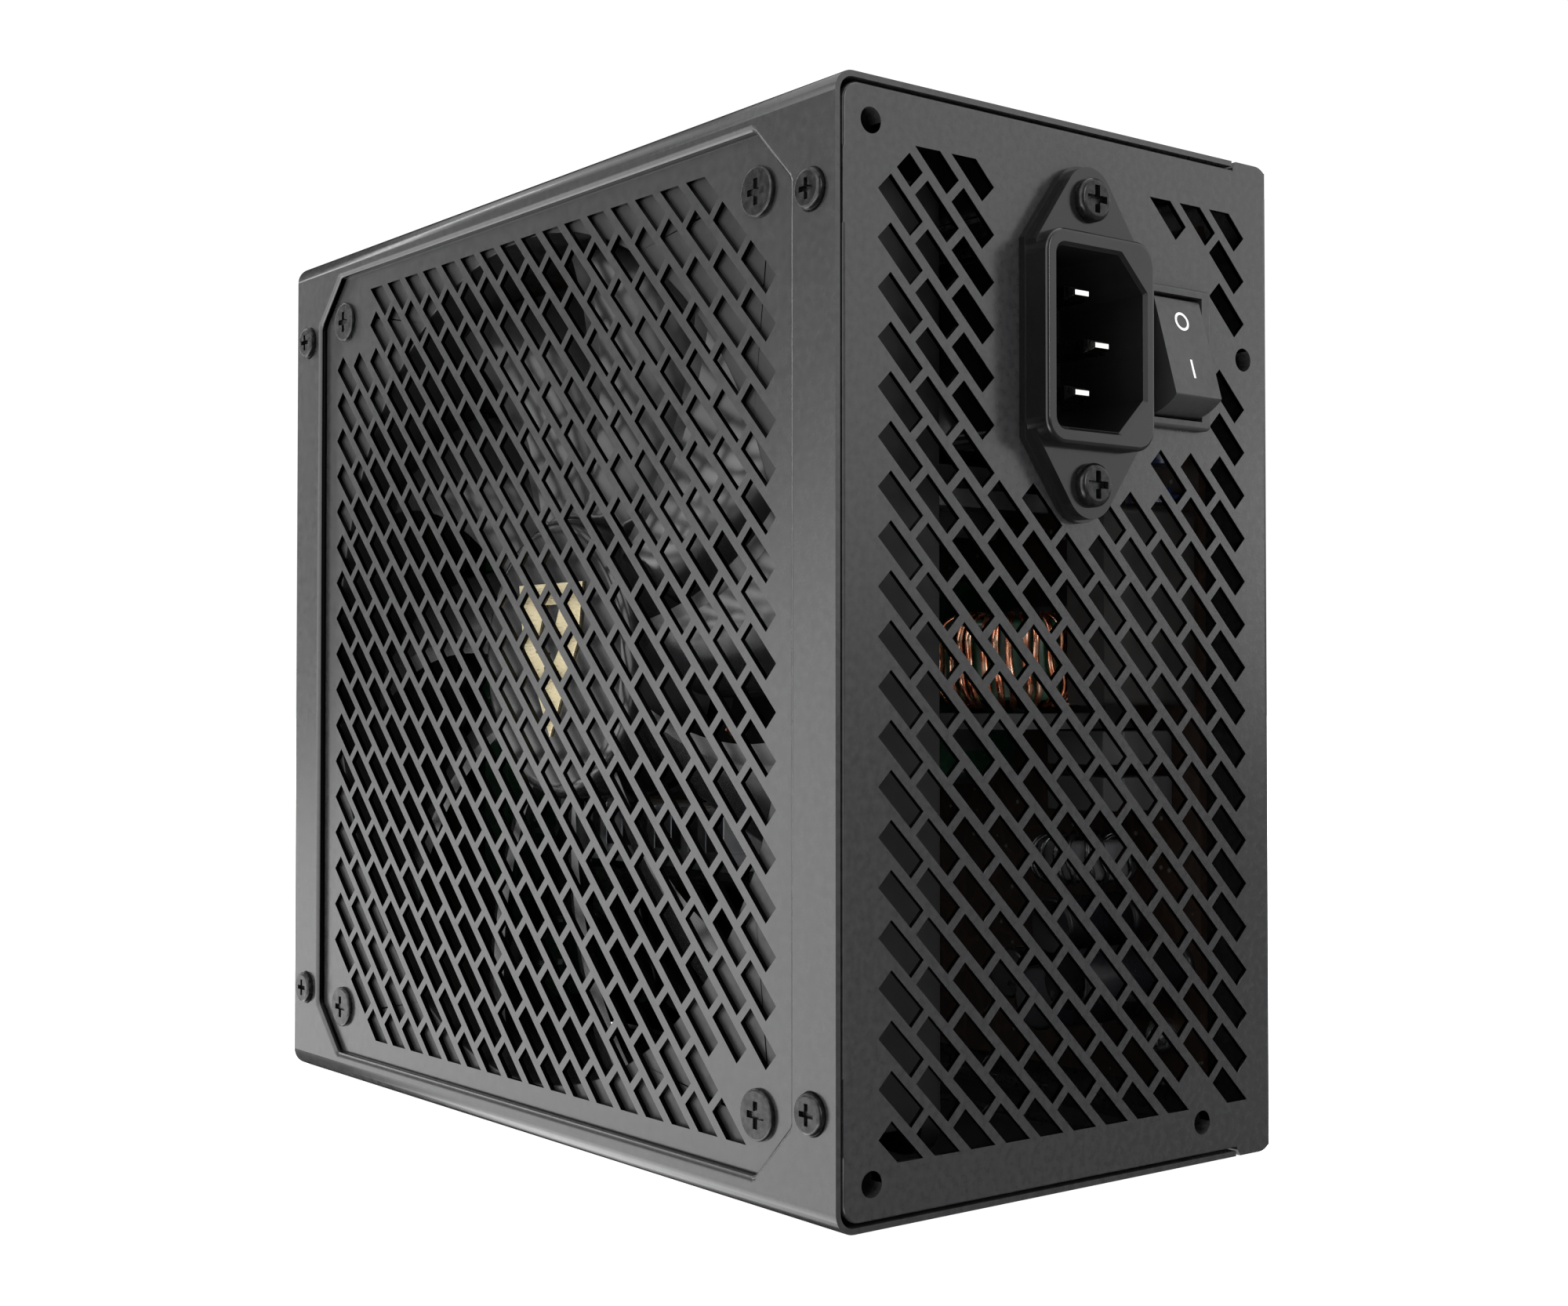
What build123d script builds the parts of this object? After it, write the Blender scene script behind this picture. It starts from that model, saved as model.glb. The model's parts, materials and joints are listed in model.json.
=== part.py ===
from build123d import *
import math
import os

# ATX power supply standing on one side wall.
# +X runs out of the rear panel (mains inlet), -X out of the front panel (outlet sockets),
# -Y out of the fan face, +Y out of the tray floor, +Z up. The origin is the centre of the
# wall that it stands on. All sizes are in millimetres.

# ---- driving dimensions ------------------------------------------------------------------
DEPTH = 160.0          # along X, front panel to rear panel
THICK = 86.0           # along Y, fan face to tray floor
WIDTH = 150.0          # along Z, wall to wall
SHEET = 0.8            # steel sheet thickness
BEND_R = 3.0           # outside radius of the bends along the depth
END_BEND_R = 1.2       # outside radius of the tray's bends up to its end panels

REAR_X = DEPTH / 2
FAN_Y = -THICK / 2
FLOOR_Y = THICK / 2
MID_Z = WIDTH / 2
SEAM_GAP = 0.45        # gap between the cover and the tray
COVER_EDGE_Y = 34.6    # free edge of the cover's two side walls
CORNER_RELIEF = 4.5    # length of the tray corners left out of the end bends

# fan face: pressed octagon, brick grille and screws
OCTAGON = 140.6
OCTAGON_CUT = 8.0
PRESS_DEPTH = 1.3
PRESS_SLOPE = 6.0      # degrees that the step round the octagon leans outwards
PRESS_SHOULDER = 1.05  # radius of the rounded edge round the pressed octagon
PANEL_EDGE_R = 0.45    # radius of the rear and front panels' edges beside the cover
GRILLE_WINDOW = 136.0
FAN_HOLE_PITCH = 124.5
COVER_SCREW_X = 75.1
COVER_SCREW_PITCH = 120.0

# brick grille: short slots turned 45 degrees on a square lattice
PITCH = 6.52
BRICK_LONG = 8.0
BRICK_SHORT = 3.2
GRILLE_LOW = 8.2
GRILLE_HIGH = 141.9
ROWS = 10              # rows above and below the middle row
FAN_COLUMNS = 20
REAR_COLUMNS = 11
SCREW_CLEAR = 5.2      # bare sheet kept round each fan screw

# mounting screws of the standard bolt pattern on the rear panel, as (y, z)
MOUNT_HOLES = [(-37.0, 144.0), (-37.0, 6.0), (37.0, 120.0), (27.0, 6.0)]
MOUNT_R = 1.75
COLLAR_R = 2.7
COLLAR_LENGTH = 2.4

# mains inlet
INLET_Y = 0.7
INLET_Z = 118.4
INLET_SCREW_PITCH = 40.0
INLET_BODY = (21.6, 29.8)
INLET_CAVITY = (17.4, 25.0)
INLET_FRONT = 5.4      # height of the inlet's rim above the rear panel
INLET_FLANGE = 3.0
INLET_REACH = 18.0     # length of the inlet body behind the panel
CAVITY_DEPTH = 17.0
PIN_SIZE = (4.0, 2.0)

# rocker switch
SWITCH_Y = 20.6
SWITCH_Z = 118.6
BEZEL = (14.6, 20.8)
BEZEL_RISE = 1.6
ROCKER_HALF_WIDTH = 4.9
ROCKER_R = 8.8         # radius of the rocker's ends about its pivot
ROCKER_FACE = 4.2      # distance from the pivot to the rocker's flat face
ROCKER_BACK = 3.4
ROCKER_TILT = 16.27    # each way from the middle
PIVOT_X = 79.4
PIVOT_R = 1.4
RUNNING_GAP = 0.05     # radial clearance of a running fit

# fan
FAN_SIZE = 140.0
FAN_DEPTH = 25.0
FAN_WALL = 1.5         # thickness of the frame's two closed sides
FAN_CORNER_R = 4.5
FAN_FRONT_Y = FAN_Y + PRESS_DEPTH + SHEET
BORE_R = 66.8
BLADE_TIP_R = 65.6
BLADES = 11
HUB_R = 22.5
HUB_FRONT_Y = -36.0
HUB_BACK_Y = -20.4
SHAFT_R = 1.5

# circuit board and what stands on it
BOARD_Y = 36.6         # component side of the board
BOARD_THICK = 1.6
BOARD_X = (-68.0, 71.5)
BOARD_Z = (8.0, 142.0)
BOARD_SCREWS = [(-60.0, 16.0), (-60.0, 134.0), (64.0, 16.0), (64.0, 134.0)]

# outlet sockets on the front panel
CELL_PITCH = 4.2
SOCKET_DEPTH = 13.0
SOCKET_PROUD = 1.2


# ---- small helpers -----------------------------------------------------------------------
def block(x0, x1, y0, y1, z0, z1):
    """A box given by its limits."""
    size = (x1 - x0, y1 - y0, z1 - z0)
    middle = ((x0 + x1) / 2, (y0 + y1) / 2, (z0 + z1) / 2)
    return Pos(*middle) * Box(*size)


def facing_rear(x, y=0.0, z=0.0):
    """A plane whose normal is +X, with local x along Y and local y along Z."""
    return Plane(origin=(x, y, z), x_dir=(0, 1, 0), z_dir=(1, 0, 0))


def facing_fan(y, x=0.0, z=0.0):
    """A plane whose normal is -Y, with local x along X and local y along Z."""
    return Plane(origin=(x, y, z), x_dir=(1, 0, 0), z_dir=(0, -1, 0))


def on_board(x, z):
    """A plane on the component side of the circuit board."""
    return facing_fan(BOARD_Y, x, z)


def rod(radius, length):
    """A cylinder from the local origin along local +Z."""
    return extrude(Circle(radius), length)


def ring(outer, inner, length):
    """A tube from the local origin along local +Z."""
    return extrude(Circle(outer) - Circle(inner), length)


def pull(plane, outline, length):
    """Extrude a flat shape placed on a plane along that plane's normal."""
    return extrude(plane * outline, length, dir=plane.z_dir)


def rounded(width, height, radius):
    return RectangleRounded(width, height, radius)


def fillet_corners(sketch, corners, radius):
    """Round the corners of a flat shape that lie at the given points."""
    chosen = []
    for vertex in sketch.vertices():
        for corner in corners:
            if math.dist((vertex.X, vertex.Y), corner) < 0.01:
                chosen.append(vertex)
    return fillet(chosen, radius)


def joined(shapes):
    """One solid from touching or overlapping shapes."""
    result = shapes[0]
    for shape in shapes[1:]:
        result = result + shape
    return result


def group(shapes):
    """Separate solids kept together in one sub-part."""
    solids = []
    for shape in shapes:
        solids.extend(shape.solids())
    return Compound(children=solids)


def screw(head_r, head_h, shank_r, shank_length, cross, sink=0.0):
    """A cross-head screw on local +Z with its head's underside at the origin.

    A sink above zero gives the head a cone of that depth under its rim.
    """
    head = rod(head_r, head_h)
    dome_edge = head.edges().sort_by(Axis.Z)[-1]
    head = fillet(dome_edge, head_h * 0.55)
    body = head + Pos(0, 0, -shank_length) * rod(shank_r, shank_length)
    if sink > 0:
        body = body + Pos(0, 0, -sink / 2) * Cone(shank_r, head_r, sink)
    arm = Box(cross, cross * 0.26, head_h)
    recess = arm + Rot(0, 0, 90) * arm
    return body - Pos(0, 0, head_h * 0.85) * recess


# ---- brick grille ------------------------------------------------------------------------
def brick_corners(u, v):
    """Corners of one slot, its long side falling to the right at 45 degrees."""
    along = (math.sqrt(0.5), -math.sqrt(0.5))
    across = (math.sqrt(0.5), math.sqrt(0.5))
    corners = []
    for side, end in ((-1, -1), (1, -1), (1, 1), (-1, 1)):
        du = side * BRICK_LONG / 2 * along[0] + end * BRICK_SHORT / 2 * across[0]
        dv = side * BRICK_LONG / 2 * along[1] + end * BRICK_SHORT / 2 * across[1]
        corners.append((u + du, v + dv))
    return corners


def clip(points, keep):
    """Cut a convex outline with a half plane; keep(point) is positive inside it."""
    result = []
    for index, point in enumerate(points):
        after = points[(index + 1) % len(points)]
        here = keep(point)
        there = keep(after)
        if here >= 0:
            result.append(point)
        if here * there < 0:
            share = here / (here - there)
            u = point[0] + share * (after[0] - point[0])
            v = point[1] + share * (after[1] - point[1])
            result.append((u, v))
    return result


def brick_distance(u, v, centre):
    """Distance from a slot centred at (u, v) to a point."""
    du = centre[0] - u
    dv = centre[1] - v
    along = abs(du - dv) * math.sqrt(0.5) - BRICK_LONG / 2
    across = abs(du + dv) * math.sqrt(0.5) - BRICK_SHORT / 2
    return math.hypot(max(along, 0), max(across, 0))


def fan_screw_places():
    half = FAN_HOLE_PITCH / 2
    return [(sx * half, MID_Z + sz * half) for sx in (-1, 1) for sz in (-1, 1)]


def fan_bricks():
    """Slot outlines of the fan face, in X and Z."""
    outlines = []
    for column in range(FAN_COLUMNS):
        x = (column - (FAN_COLUMNS - 1) / 2) * PITCH
        for row in range(-ROWS, ROWS + 1):
            z = MID_Z + row * PITCH
            near = min(brick_distance(x, z, place) for place in fan_screw_places())
            beside_screw = column == 1 and row == ROWS
            if near < SCREW_CLEAR or beside_screw:
                continue
            outline = clip(brick_corners(x, z), lambda p: p[1] - GRILLE_LOW)
            outline = clip(outline, lambda p: GRILLE_HIGH - p[1])
            outlines.append(outline)
    return outlines


def rear_cell_is_bare(y, z):
    """True where the rear panel keeps solid sheet instead of a slot."""
    round_inlet = abs(y - INLET_Y) < 16.5 and z > 98.0
    round_switch = 17.0 < y < 30.0 and 104.0 < z < 137.0
    lower_ear = abs(y - INLET_Y) < 2.0 and z > 92.0
    round_mount = any(math.dist((y, z), hole) < 5.0 for hole in MOUNT_HOLES)
    return round_inlet or round_switch or lower_ear or round_mount


def rear_bricks():
    """Slot outlines of the rear panel, in Y and Z."""
    corner_line = -171.1
    outlines = []
    for column in range(REAR_COLUMNS):
        y = INLET_Y + (column - (REAR_COLUMNS - 1) / 2) * PITCH
        for row in range(-ROWS, ROWS + 1):
            z = MID_Z + row * PITCH
            if rear_cell_is_bare(y, z):
                continue
            outline = clip(brick_corners(y, z), lambda p: p[1] - GRILLE_LOW)
            outline = clip(outline, lambda p: GRILLE_HIGH - p[1])
            outline = clip(outline, lambda p: p[0] - p[1] - corner_line)
            outlines.append(outline)
    return outlines


def perforated(plane, outer, outlines):
    """A sheet with polygon holes, reaching backwards from the plane by its thickness."""
    holes = [Wire.make_polygon([Vector(u, v, 0) for u, v in line]) for line in outlines]
    sheet = Face(outer, holes)
    placed = plane * sheet
    return Solid.extrude(placed, plane.z_dir * -SHEET)


# ---- sheet metal -------------------------------------------------------------------------
def octagon(size, cut):
    half = size / 2
    short = half - cut
    points = []
    for su, sv, first in ((1, 1, True), (-1, 1, False), (-1, -1, True), (1, -1, False)):
        side = (su * half, sv * short)
        end = (su * short, sv * half)
        points.extend([side, end] if first else [end, side])
    flat = Polygon(*points, align=None)
    return fillet(flat.vertices(), 1.5)


def cover_shell():
    """Fan face and two side walls, folded from one sheet."""
    inside = FAN_Y + SHEET
    section = Polygon(
        (COVER_EDGE_Y, 0), (FAN_Y, 0), (FAN_Y, WIDTH), (COVER_EDGE_Y, WIDTH),
        (COVER_EDGE_Y, WIDTH - SHEET), (inside, WIDTH - SHEET), (inside, SHEET),
        (COVER_EDGE_Y, SHEET), align=None)
    section = fillet_corners(section, [(FAN_Y, 0), (FAN_Y, WIDTH)], BEND_R)
    inner_corners = [(inside, SHEET), (inside, WIDTH - SHEET)]
    section = fillet_corners(section, inner_corners, BEND_R - SHEET)
    cover = pull(facing_rear(-REAR_X), section, DEPTH)

    # the octagon is pressed inwards with a steep step all round
    face = facing_fan(FAN_Y, 0, MID_Z)
    back = facing_fan(FAN_Y + SHEET, 0, MID_Z)
    step = PRESS_DEPTH / 2
    pocket = extrude(face * octagon(OCTAGON, OCTAGON_CUT), -PRESS_DEPTH, taper=PRESS_SLOPE)
    pad_outline = octagon(OCTAGON + 2 * step, OCTAGON_CUT + step)
    pad = extrude(back * pad_outline, -PRESS_DEPTH, taper=PRESS_SLOPE)
    cover = cover + pad - pocket
    shoulder = []
    for edge in cover.edges():
        middle = edge.center()
        if abs(middle.Y - FAN_Y) < 0.01 and abs(middle.X) < OCTAGON / 2 + 1:
            if abs(middle.Z - MID_Z) < OCTAGON / 2 + 1:
                shoulder.append(edge)
    cover = fillet(shoulder, PRESS_SHOULDER)

    # the middle of the octagon is replaced by the perforated sheet
    window = Pos(0, MID_Z) * octagon(GRILLE_WINDOW, OCTAGON_CUT)
    cover = cover - pull(facing_fan(FAN_Y + 3), window, 5)
    grille = perforated(facing_fan(FAN_Y + PRESS_DEPTH), window.faces()[0].outer_wire(),
                        fan_bricks())
    cover = cover + grille

    for x, z in fan_screw_places():
        cover = cover - facing_fan(FAN_Y + 3, x, z) * rod(2.4, 6)
    for x, z in cover_screw_places():
        dimple = Pos(0, 0, -SHEET / 2) * Cone(1.7, 3.0, SHEET)
        cover = cover - facing_fan(FAN_Y, x, z) * dimple
    return cover


def cover_screw_places():
    half = COVER_SCREW_PITCH / 2
    return [(sx * COVER_SCREW_X, MID_Z + sz * half) for sx in (-1, 1) for sz in (-1, 1)]


def tray_channel():
    """Tray floor with its two low flanges, stepped inwards to pass under the cover."""
    tab_y = 27.0
    step_y = COVER_EDGE_Y + SEAM_GAP
    inset = SHEET + 0.15
    outer = [(tab_y, inset), (step_y - 0.1, inset), (step_y + 0.5, 0), (FLOOR_Y, 0)]
    inner = [(tab_y, inset + SHEET), (step_y + 0.4, inset + SHEET), (step_y + 1.0, SHEET),
             (FLOOR_Y - SHEET, SHEET)]
    far_outer = [(y, WIDTH - z) for y, z in reversed(outer)]
    far_inner = [(y, WIDTH - z) for y, z in inner]
    section = Polygon(*outer, *far_outer, *far_inner, *reversed(inner), align=None)
    section = fillet_corners(section, [(FLOOR_Y, 0), (FLOOR_Y, WIDTH)], BEND_R)
    inner_corners = [(FLOOR_Y - SHEET, SHEET), (FLOOR_Y - SHEET, WIDTH - SHEET)]
    section = fillet_corners(section, inner_corners, BEND_R - SHEET)
    channel = pull(facing_rear(-REAR_X), section, DEPTH)

    # the tabs under the cover stop short of the end panels, and the floor stops at the bends
    for side in (-1, 1):
        for low, high in ((0.0, 4.0), (WIDTH - 4.0, WIDTH)):
            x0, x1 = sorted((side * (REAR_X - 2.0), side * REAR_X))
            channel = channel - block(x0, x1, tab_y - 1, step_y - 0.2, low, high)
        x0, x1 = sorted((side * (REAR_X - END_BEND_R), side * REAR_X))
        channel = channel - block(x0, x1, FLOOR_Y - END_BEND_R, FLOOR_Y,
                                  CORNER_RELIEF, WIDTH - CORNER_RELIEF)
        channel = channel - block(x0, x1, FLOOR_Y - SHEET, FLOOR_Y, 0, WIDTH)
    return channel


def end_panel(outlines):
    """One end panel at +X with its bend into the floor and its two cover tabs."""
    top = FAN_Y + SHEET + SEAM_GAP
    low = SHEET + SEAM_GAP
    split = COVER_EDGE_Y + SEAM_GAP
    corner_r = BEND_R - SHEET + 0.6
    bend_y = FLOOR_Y - END_BEND_R
    inner_x = REAR_X - SHEET
    lower = [(top, low), (split, low), (split, SHEET), (bend_y, SHEET)]
    upper = [(y, WIDTH - z) for y, z in reversed(lower)]
    outline = Polygon(*lower, *upper, align=None)
    outline = fillet_corners(outline, [(top, low), (top, WIDTH - low)], corner_r)
    panel = perforated(facing_rear(REAR_X), outline.faces()[0].outer_wire(), outlines)
    rim = panel.faces().sort_by(Axis.X)[-1].outer_wire().edges()
    panel = fillet([edge for edge in rim if edge.center().Y < split - 0.1], PANEL_EDGE_R)
    pieces = [panel]
    for z0, z1 in ((SHEET, CORNER_RELIEF), (WIDTH - CORNER_RELIEF, WIDTH - SHEET)):
        pieces.append(block(inner_x, REAR_X, bend_y, FLOOR_Y - SHEET, z0, z1))
    quarter = Circle(END_BEND_R) - Circle(END_BEND_R - SHEET)
    quarter = quarter & Pos(END_BEND_R / 2, END_BEND_R / 2) * Rectangle(END_BEND_R, END_BEND_R)
    centre = Plane(origin=(REAR_X - END_BEND_R, bend_y, CORNER_RELIEF))
    pieces.append(extrude(centre * quarter, WIDTH - 2 * CORNER_RELIEF))
    for x, z in cover_screw_places():
        if x > 0:
            tab = block(REAR_X - 8.4, REAR_X, top, top + SHEET, z - 5, z + 5)
            pieces.append(tab - facing_fan(top + 2, x, z) * rod(1.5, 4))
    return joined(pieces)


def board_boss(x, z):
    """A tapped boss that carries the circuit board off the floor."""
    length = FLOOR_Y - SHEET - BOARD_Y - BOARD_THICK
    return facing_fan(FLOOR_Y - SHEET, x, z) * ring(2.8, 1.3, length)


def base_tray():
    """Floor, rear panel and front panel, folded from one sheet."""
    rear = end_panel(rear_bricks())
    for y, z in MOUNT_HOLES:
        collar = facing_rear(REAR_X - COLLAR_LENGTH, y, z) * rod(COLLAR_R, COLLAR_LENGTH)
        hole = facing_rear(REAR_X - 5, y, z) * rod(MOUNT_R, 6)
        rear = rear + collar - hole
    inlet_hole = facing_rear(REAR_X - 2, INLET_Y, INLET_Z) * rounded(20.4, 27.4, 1.5)
    rear = rear - extrude(inlet_hole, 3)
    for side in (-1, 1):
        z = INLET_Z + side * INLET_SCREW_PITCH / 2
        rear = rear - facing_rear(REAR_X - 2, INLET_Y, z) * rod(1.6, 3)
    switch_hole = facing_rear(REAR_X - 2, SWITCH_Y, SWITCH_Z) * rounded(13.0, 19.9, 0.2)
    rear = rear - extrude(switch_hole, 3)

    front = mirror(end_panel([]), about=Plane.YZ)
    for place in outlet_sockets():
        width, height = socket_size(place[2])
        hole = facing_front(place[0], place[1], -REAR_X + 2) * Rectangle(height + 0.2, width + 0.2)
        front = front - extrude(hole, 3)
    tray = joined([tray_channel(), rear, front])
    for x, z in BOARD_SCREWS:
        tray = tray + board_boss(x, z)
    return tray


def cover_screws():
    screws = []
    for x, z in cover_screw_places():
        place = facing_fan(FAN_Y + 0.1, x, z)
        screws.append(place * screw(2.8, 1.1, 1.45, 5.0, 2.9, sink=0.45))
    return group(screws)


def fan_screws():
    screws = []
    for x, z in fan_screw_places():
        place = facing_fan(FAN_Y + PRESS_DEPTH, x, z)
        screws.append(place * screw(3.55, 0.75, 2.1, 11.0, 3.7))
    return group(screws)


def board_screws():
    screws = []
    for x, z in BOARD_SCREWS:
        screws.append(on_board(x, z) * screw(2.75, 1.8, 1.25, 5.0, 3.0))
    return group(screws)


# ---- mains inlet -------------------------------------------------------------------------
def inlet_flange_outline(grow):
    """Flange with a rounded ear at each end, widened all round by grow."""
    half = INLET_SCREW_PITCH / 2
    body = Rectangle(INLET_BODY[0] - 0.6 + 2 * grow, INLET_BODY[1] - 3.0 + 2 * grow)
    ear = Circle(4.7 + grow)
    corners = [Pos(0, half) * ear, Pos(0, -half) * ear, body]
    edges = []
    for shape in corners:
        edges.extend(shape.edges())
    return make_hull(edges)


def inlet_cavity_outline():
    """Socket opening with its two cut corners on the earth side."""
    width, height = INLET_CAVITY
    cut = 5.0
    outline = Polygon(
        (-width / 2, -height / 2), (width / 2 - cut, -height / 2), (width / 2, -height / 2 + cut),
        (width / 2, height / 2 - cut), (width / 2 - cut, height / 2), (-width / 2, height / 2),
        align=None)
    rounds = [(-width / 2, -height / 2), (-width / 2, height / 2)]
    return fillet_corners(outline, rounds, 1.4)


def inlet_pin_places():
    """Live and neutral on one line, earth beside it, as (y, z)."""
    return [(INLET_Y - 1.0, INLET_Z + 7.0), (INLET_Y - 1.0, INLET_Z - 7.0),
            (INLET_Y + 3.0, INLET_Z)]


def inlet_housing():
    panel = facing_rear(REAR_X, INLET_Y, INLET_Z)
    foot = extrude(panel * inlet_flange_outline(0.45), 1.2)
    flange = extrude(panel * inlet_flange_outline(0.0), INLET_FLANGE)
    rim = extrude(panel * rounded(*INLET_BODY, 3.6), INLET_FRONT)
    rim = fillet(rim.faces().sort_by(Axis.X)[-1].outer_wire().edges(), 0.6)
    back = facing_rear(REAR_X - INLET_REACH, INLET_Y, INLET_Z)
    trunk = extrude(back * rounded(19.9, 26.9, 1.4), INLET_REACH)
    housing = joined([foot, flange, rim, trunk])
    mouth = facing_rear(REAR_X + INLET_FRONT, INLET_Y, INLET_Z)
    housing = housing - extrude(mouth * inlet_cavity_outline(), -CAVITY_DEPTH)
    bevel = extrude(mouth * offset(inlet_cavity_outline(), 0.45), -0.5, taper=40)
    housing = housing - bevel
    for side in (-1, 1):
        ear = facing_rear(REAR_X - 1, INLET_Y, INLET_Z + side * INLET_SCREW_PITCH / 2)
        housing = housing - ear * rod(1.65, INLET_FLANGE + 2)
    for y, z in inlet_pin_places():
        slot = facing_rear(REAR_X - INLET_REACH - 1, y, z) * Rectangle(*PIN_SIZE)
        housing = housing - extrude(slot, 10)
    return housing


def inlet_pins():
    """Three blades, tapered at the tip and drilled for a lead at the tail."""
    tail = 9.0
    tip = 1.6
    length = REAR_X + 2.4 - (REAR_X - INLET_REACH - tail)
    pins = []
    for y, z in inlet_pin_places():
        start = facing_rear(REAR_X - INLET_REACH - tail, y, z)
        blade = extrude(start * Rectangle(*PIN_SIZE), length - tip)
        shoulder = facing_rear(REAR_X + 2.4 - tip, y, z) * Rectangle(*PIN_SIZE)
        blade = blade + extrude(shoulder, tip, taper=22)
        eye = Pos(REAR_X - INLET_REACH - tail + 3, y, z) * Cylinder(0.7, 6)
        pins.append(blade - eye)
    return group(pins)


def inlet_screws():
    screws = []
    for side in (-1, 1):
        z = INLET_Z + side * INLET_SCREW_PITCH / 2
        place = facing_rear(REAR_X + INLET_FLANGE, INLET_Y, z)
        screws.append(place * screw(3.1, 1.5, 1.45, 8.0, 3.9))
    return group(screws)


def inlet_nuts():
    nuts = []
    for side in (-1, 1):
        z = INLET_Z + side * INLET_SCREW_PITCH / 2
        place = facing_rear(REAR_X - SHEET - 2.4, INLET_Y, z)
        hexagon = RegularPolygon(2.75, 6, major_radius=False) - Circle(1.5)
        nuts.append(extrude(place * hexagon, 2.4))
    return group(nuts)


# ---- rocker switch -----------------------------------------------------------------------
def across_switch(y):
    """A plane facing +Y through the rocker's pivot, local x along Z and local y along X."""
    return Plane(origin=(PIVOT_X, y, SWITCH_Z), x_dir=(0, 0, 1), z_dir=(0, 1, 0))


def switch_frame():
    """Bezel and hollow body; the rocker turns on two bores in its long walls."""
    inner_y = ROCKER_HALF_WIDTH + 0.3
    inner_z = ROCKER_R + 0.35
    bezel = extrude(facing_rear(REAR_X, SWITCH_Y, SWITCH_Z) * rounded(*BEZEL, 0.8), BEZEL_RISE)
    front_face = bezel.faces().sort_by(Axis.X)[-1]
    bezel = fillet(front_face.edges(), 0.5)
    body = block(REAR_X - 14, REAR_X, SWITCH_Y - 6.4, SWITCH_Y + 6.4,
                 SWITCH_Z - 9.85, SWITCH_Z + 9.85)
    well = block(REAR_X - 10, REAR_X + 3, SWITCH_Y - inner_y, SWITCH_Y + inner_y,
                 SWITCH_Z - inner_z, SWITCH_Z + inner_z)
    frame = bezel + body - well
    bore = across_switch(SWITCH_Y - 6.2) * rod(PIVOT_R + RUNNING_GAP, 12.4)
    frame = frame - bore
    for side in (-1, 1):
        catch = Polygon((0, 0), (0.55, 0), (0, -6.0 * side), align=None)
        plane = Plane(origin=(REAR_X - SHEET - 0.2, SWITCH_Y - 4, SWITCH_Z + side * 9.85),
                      x_dir=(0, 0, side), z_dir=(0, 1, 0))
        frame = frame + pull(plane, catch, 8)
    for z in switch_terminal_heights():
        frame = frame - block(REAR_X - 15, REAR_X - 9, SWITCH_Y - 2.4, SWITCH_Y + 2.4,
                              z - 0.4, z + 0.4)
    return frame


def switch_terminal_heights():
    return [SWITCH_Z - 6.0, SWITCH_Z, SWITCH_Z + 6.0]


def switch_terminals():
    blades = []
    for z in switch_terminal_heights():
        blade = block(REAR_X - 22, REAR_X - 9.0, SWITCH_Y - 2.4, SWITCH_Y + 2.4, z - 0.4, z + 0.4)
        eye = Pos(REAR_X - 19.5, SWITCH_Y, z) * Cylinder(0.8, 3)
        blades.append(blade - eye)
    return group(blades)


def rocker_profile():
    """Side view of the rocker at mid travel: a disc cut flat at the front and the back."""
    band = ROCKER_FACE + ROCKER_BACK
    middle = (ROCKER_FACE - ROCKER_BACK) / 2
    return Circle(ROCKER_R) & Pos(0, middle) * Rectangle(3 * ROCKER_R, band)


def switch_mark_outlines():
    """A ring for off and a bar for on, as flat shapes on the rocker's face."""
    off_ring = Pos(0, 4.1) * (Circle(1.45) - Circle(1.05))
    on_bar = Pos(0, -3.4) * Rectangle(0.4, 2.9)
    return [off_ring, on_bar]


def tilted(shape):
    """Turn a shape about the rocker's pivot from mid travel to its off position."""
    return Pos(PIVOT_X, SWITCH_Y, SWITCH_Z) * Rot(0, -ROCKER_TILT, 0) * shape


def switch_rocker():
    side = Plane(origin=(0, -ROCKER_HALF_WIDTH, 0), x_dir=(0, 0, 1), z_dir=(0, 1, 0))
    body = extrude(side * rocker_profile(), 2 * ROCKER_HALF_WIDTH)
    front_edges = body.edges().filter_by(Axis.Y).group_by(Axis.X)[-1]
    body = fillet(front_edges, 0.35)
    for y in (-1, 1):
        start = Plane(origin=(0, y * ROCKER_HALF_WIDTH, 0), x_dir=(0, 0, 1), z_dir=(0, y, 0))
        body = body + start * rod(PIVOT_R, 1.1)
    hollow = block(-ROCKER_BACK - 1, 0.6, -3.7, 3.7, -6.4, 6.4)
    post = block(-ROCKER_BACK, 1, -1.6, 1.6, -1.8, 1.8)
    body = body - hollow + post
    for outline in switch_mark_outlines():
        body = body - extrude(facing_rear(ROCKER_FACE - 0.3) * outline, 1)
    return tilted(body)


def switch_marks():
    marks = []
    for outline in switch_mark_outlines():
        marks.append(tilted(extrude(facing_rear(ROCKER_FACE - 0.3) * outline, 0.34)))
    return group(marks)


# ---- fan ---------------------------------------------------------------------------------
def fan_plane(y):
    """A plane across the fan's axis, facing out of the fan face."""
    return facing_fan(y, 0, MID_Z)


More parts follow.
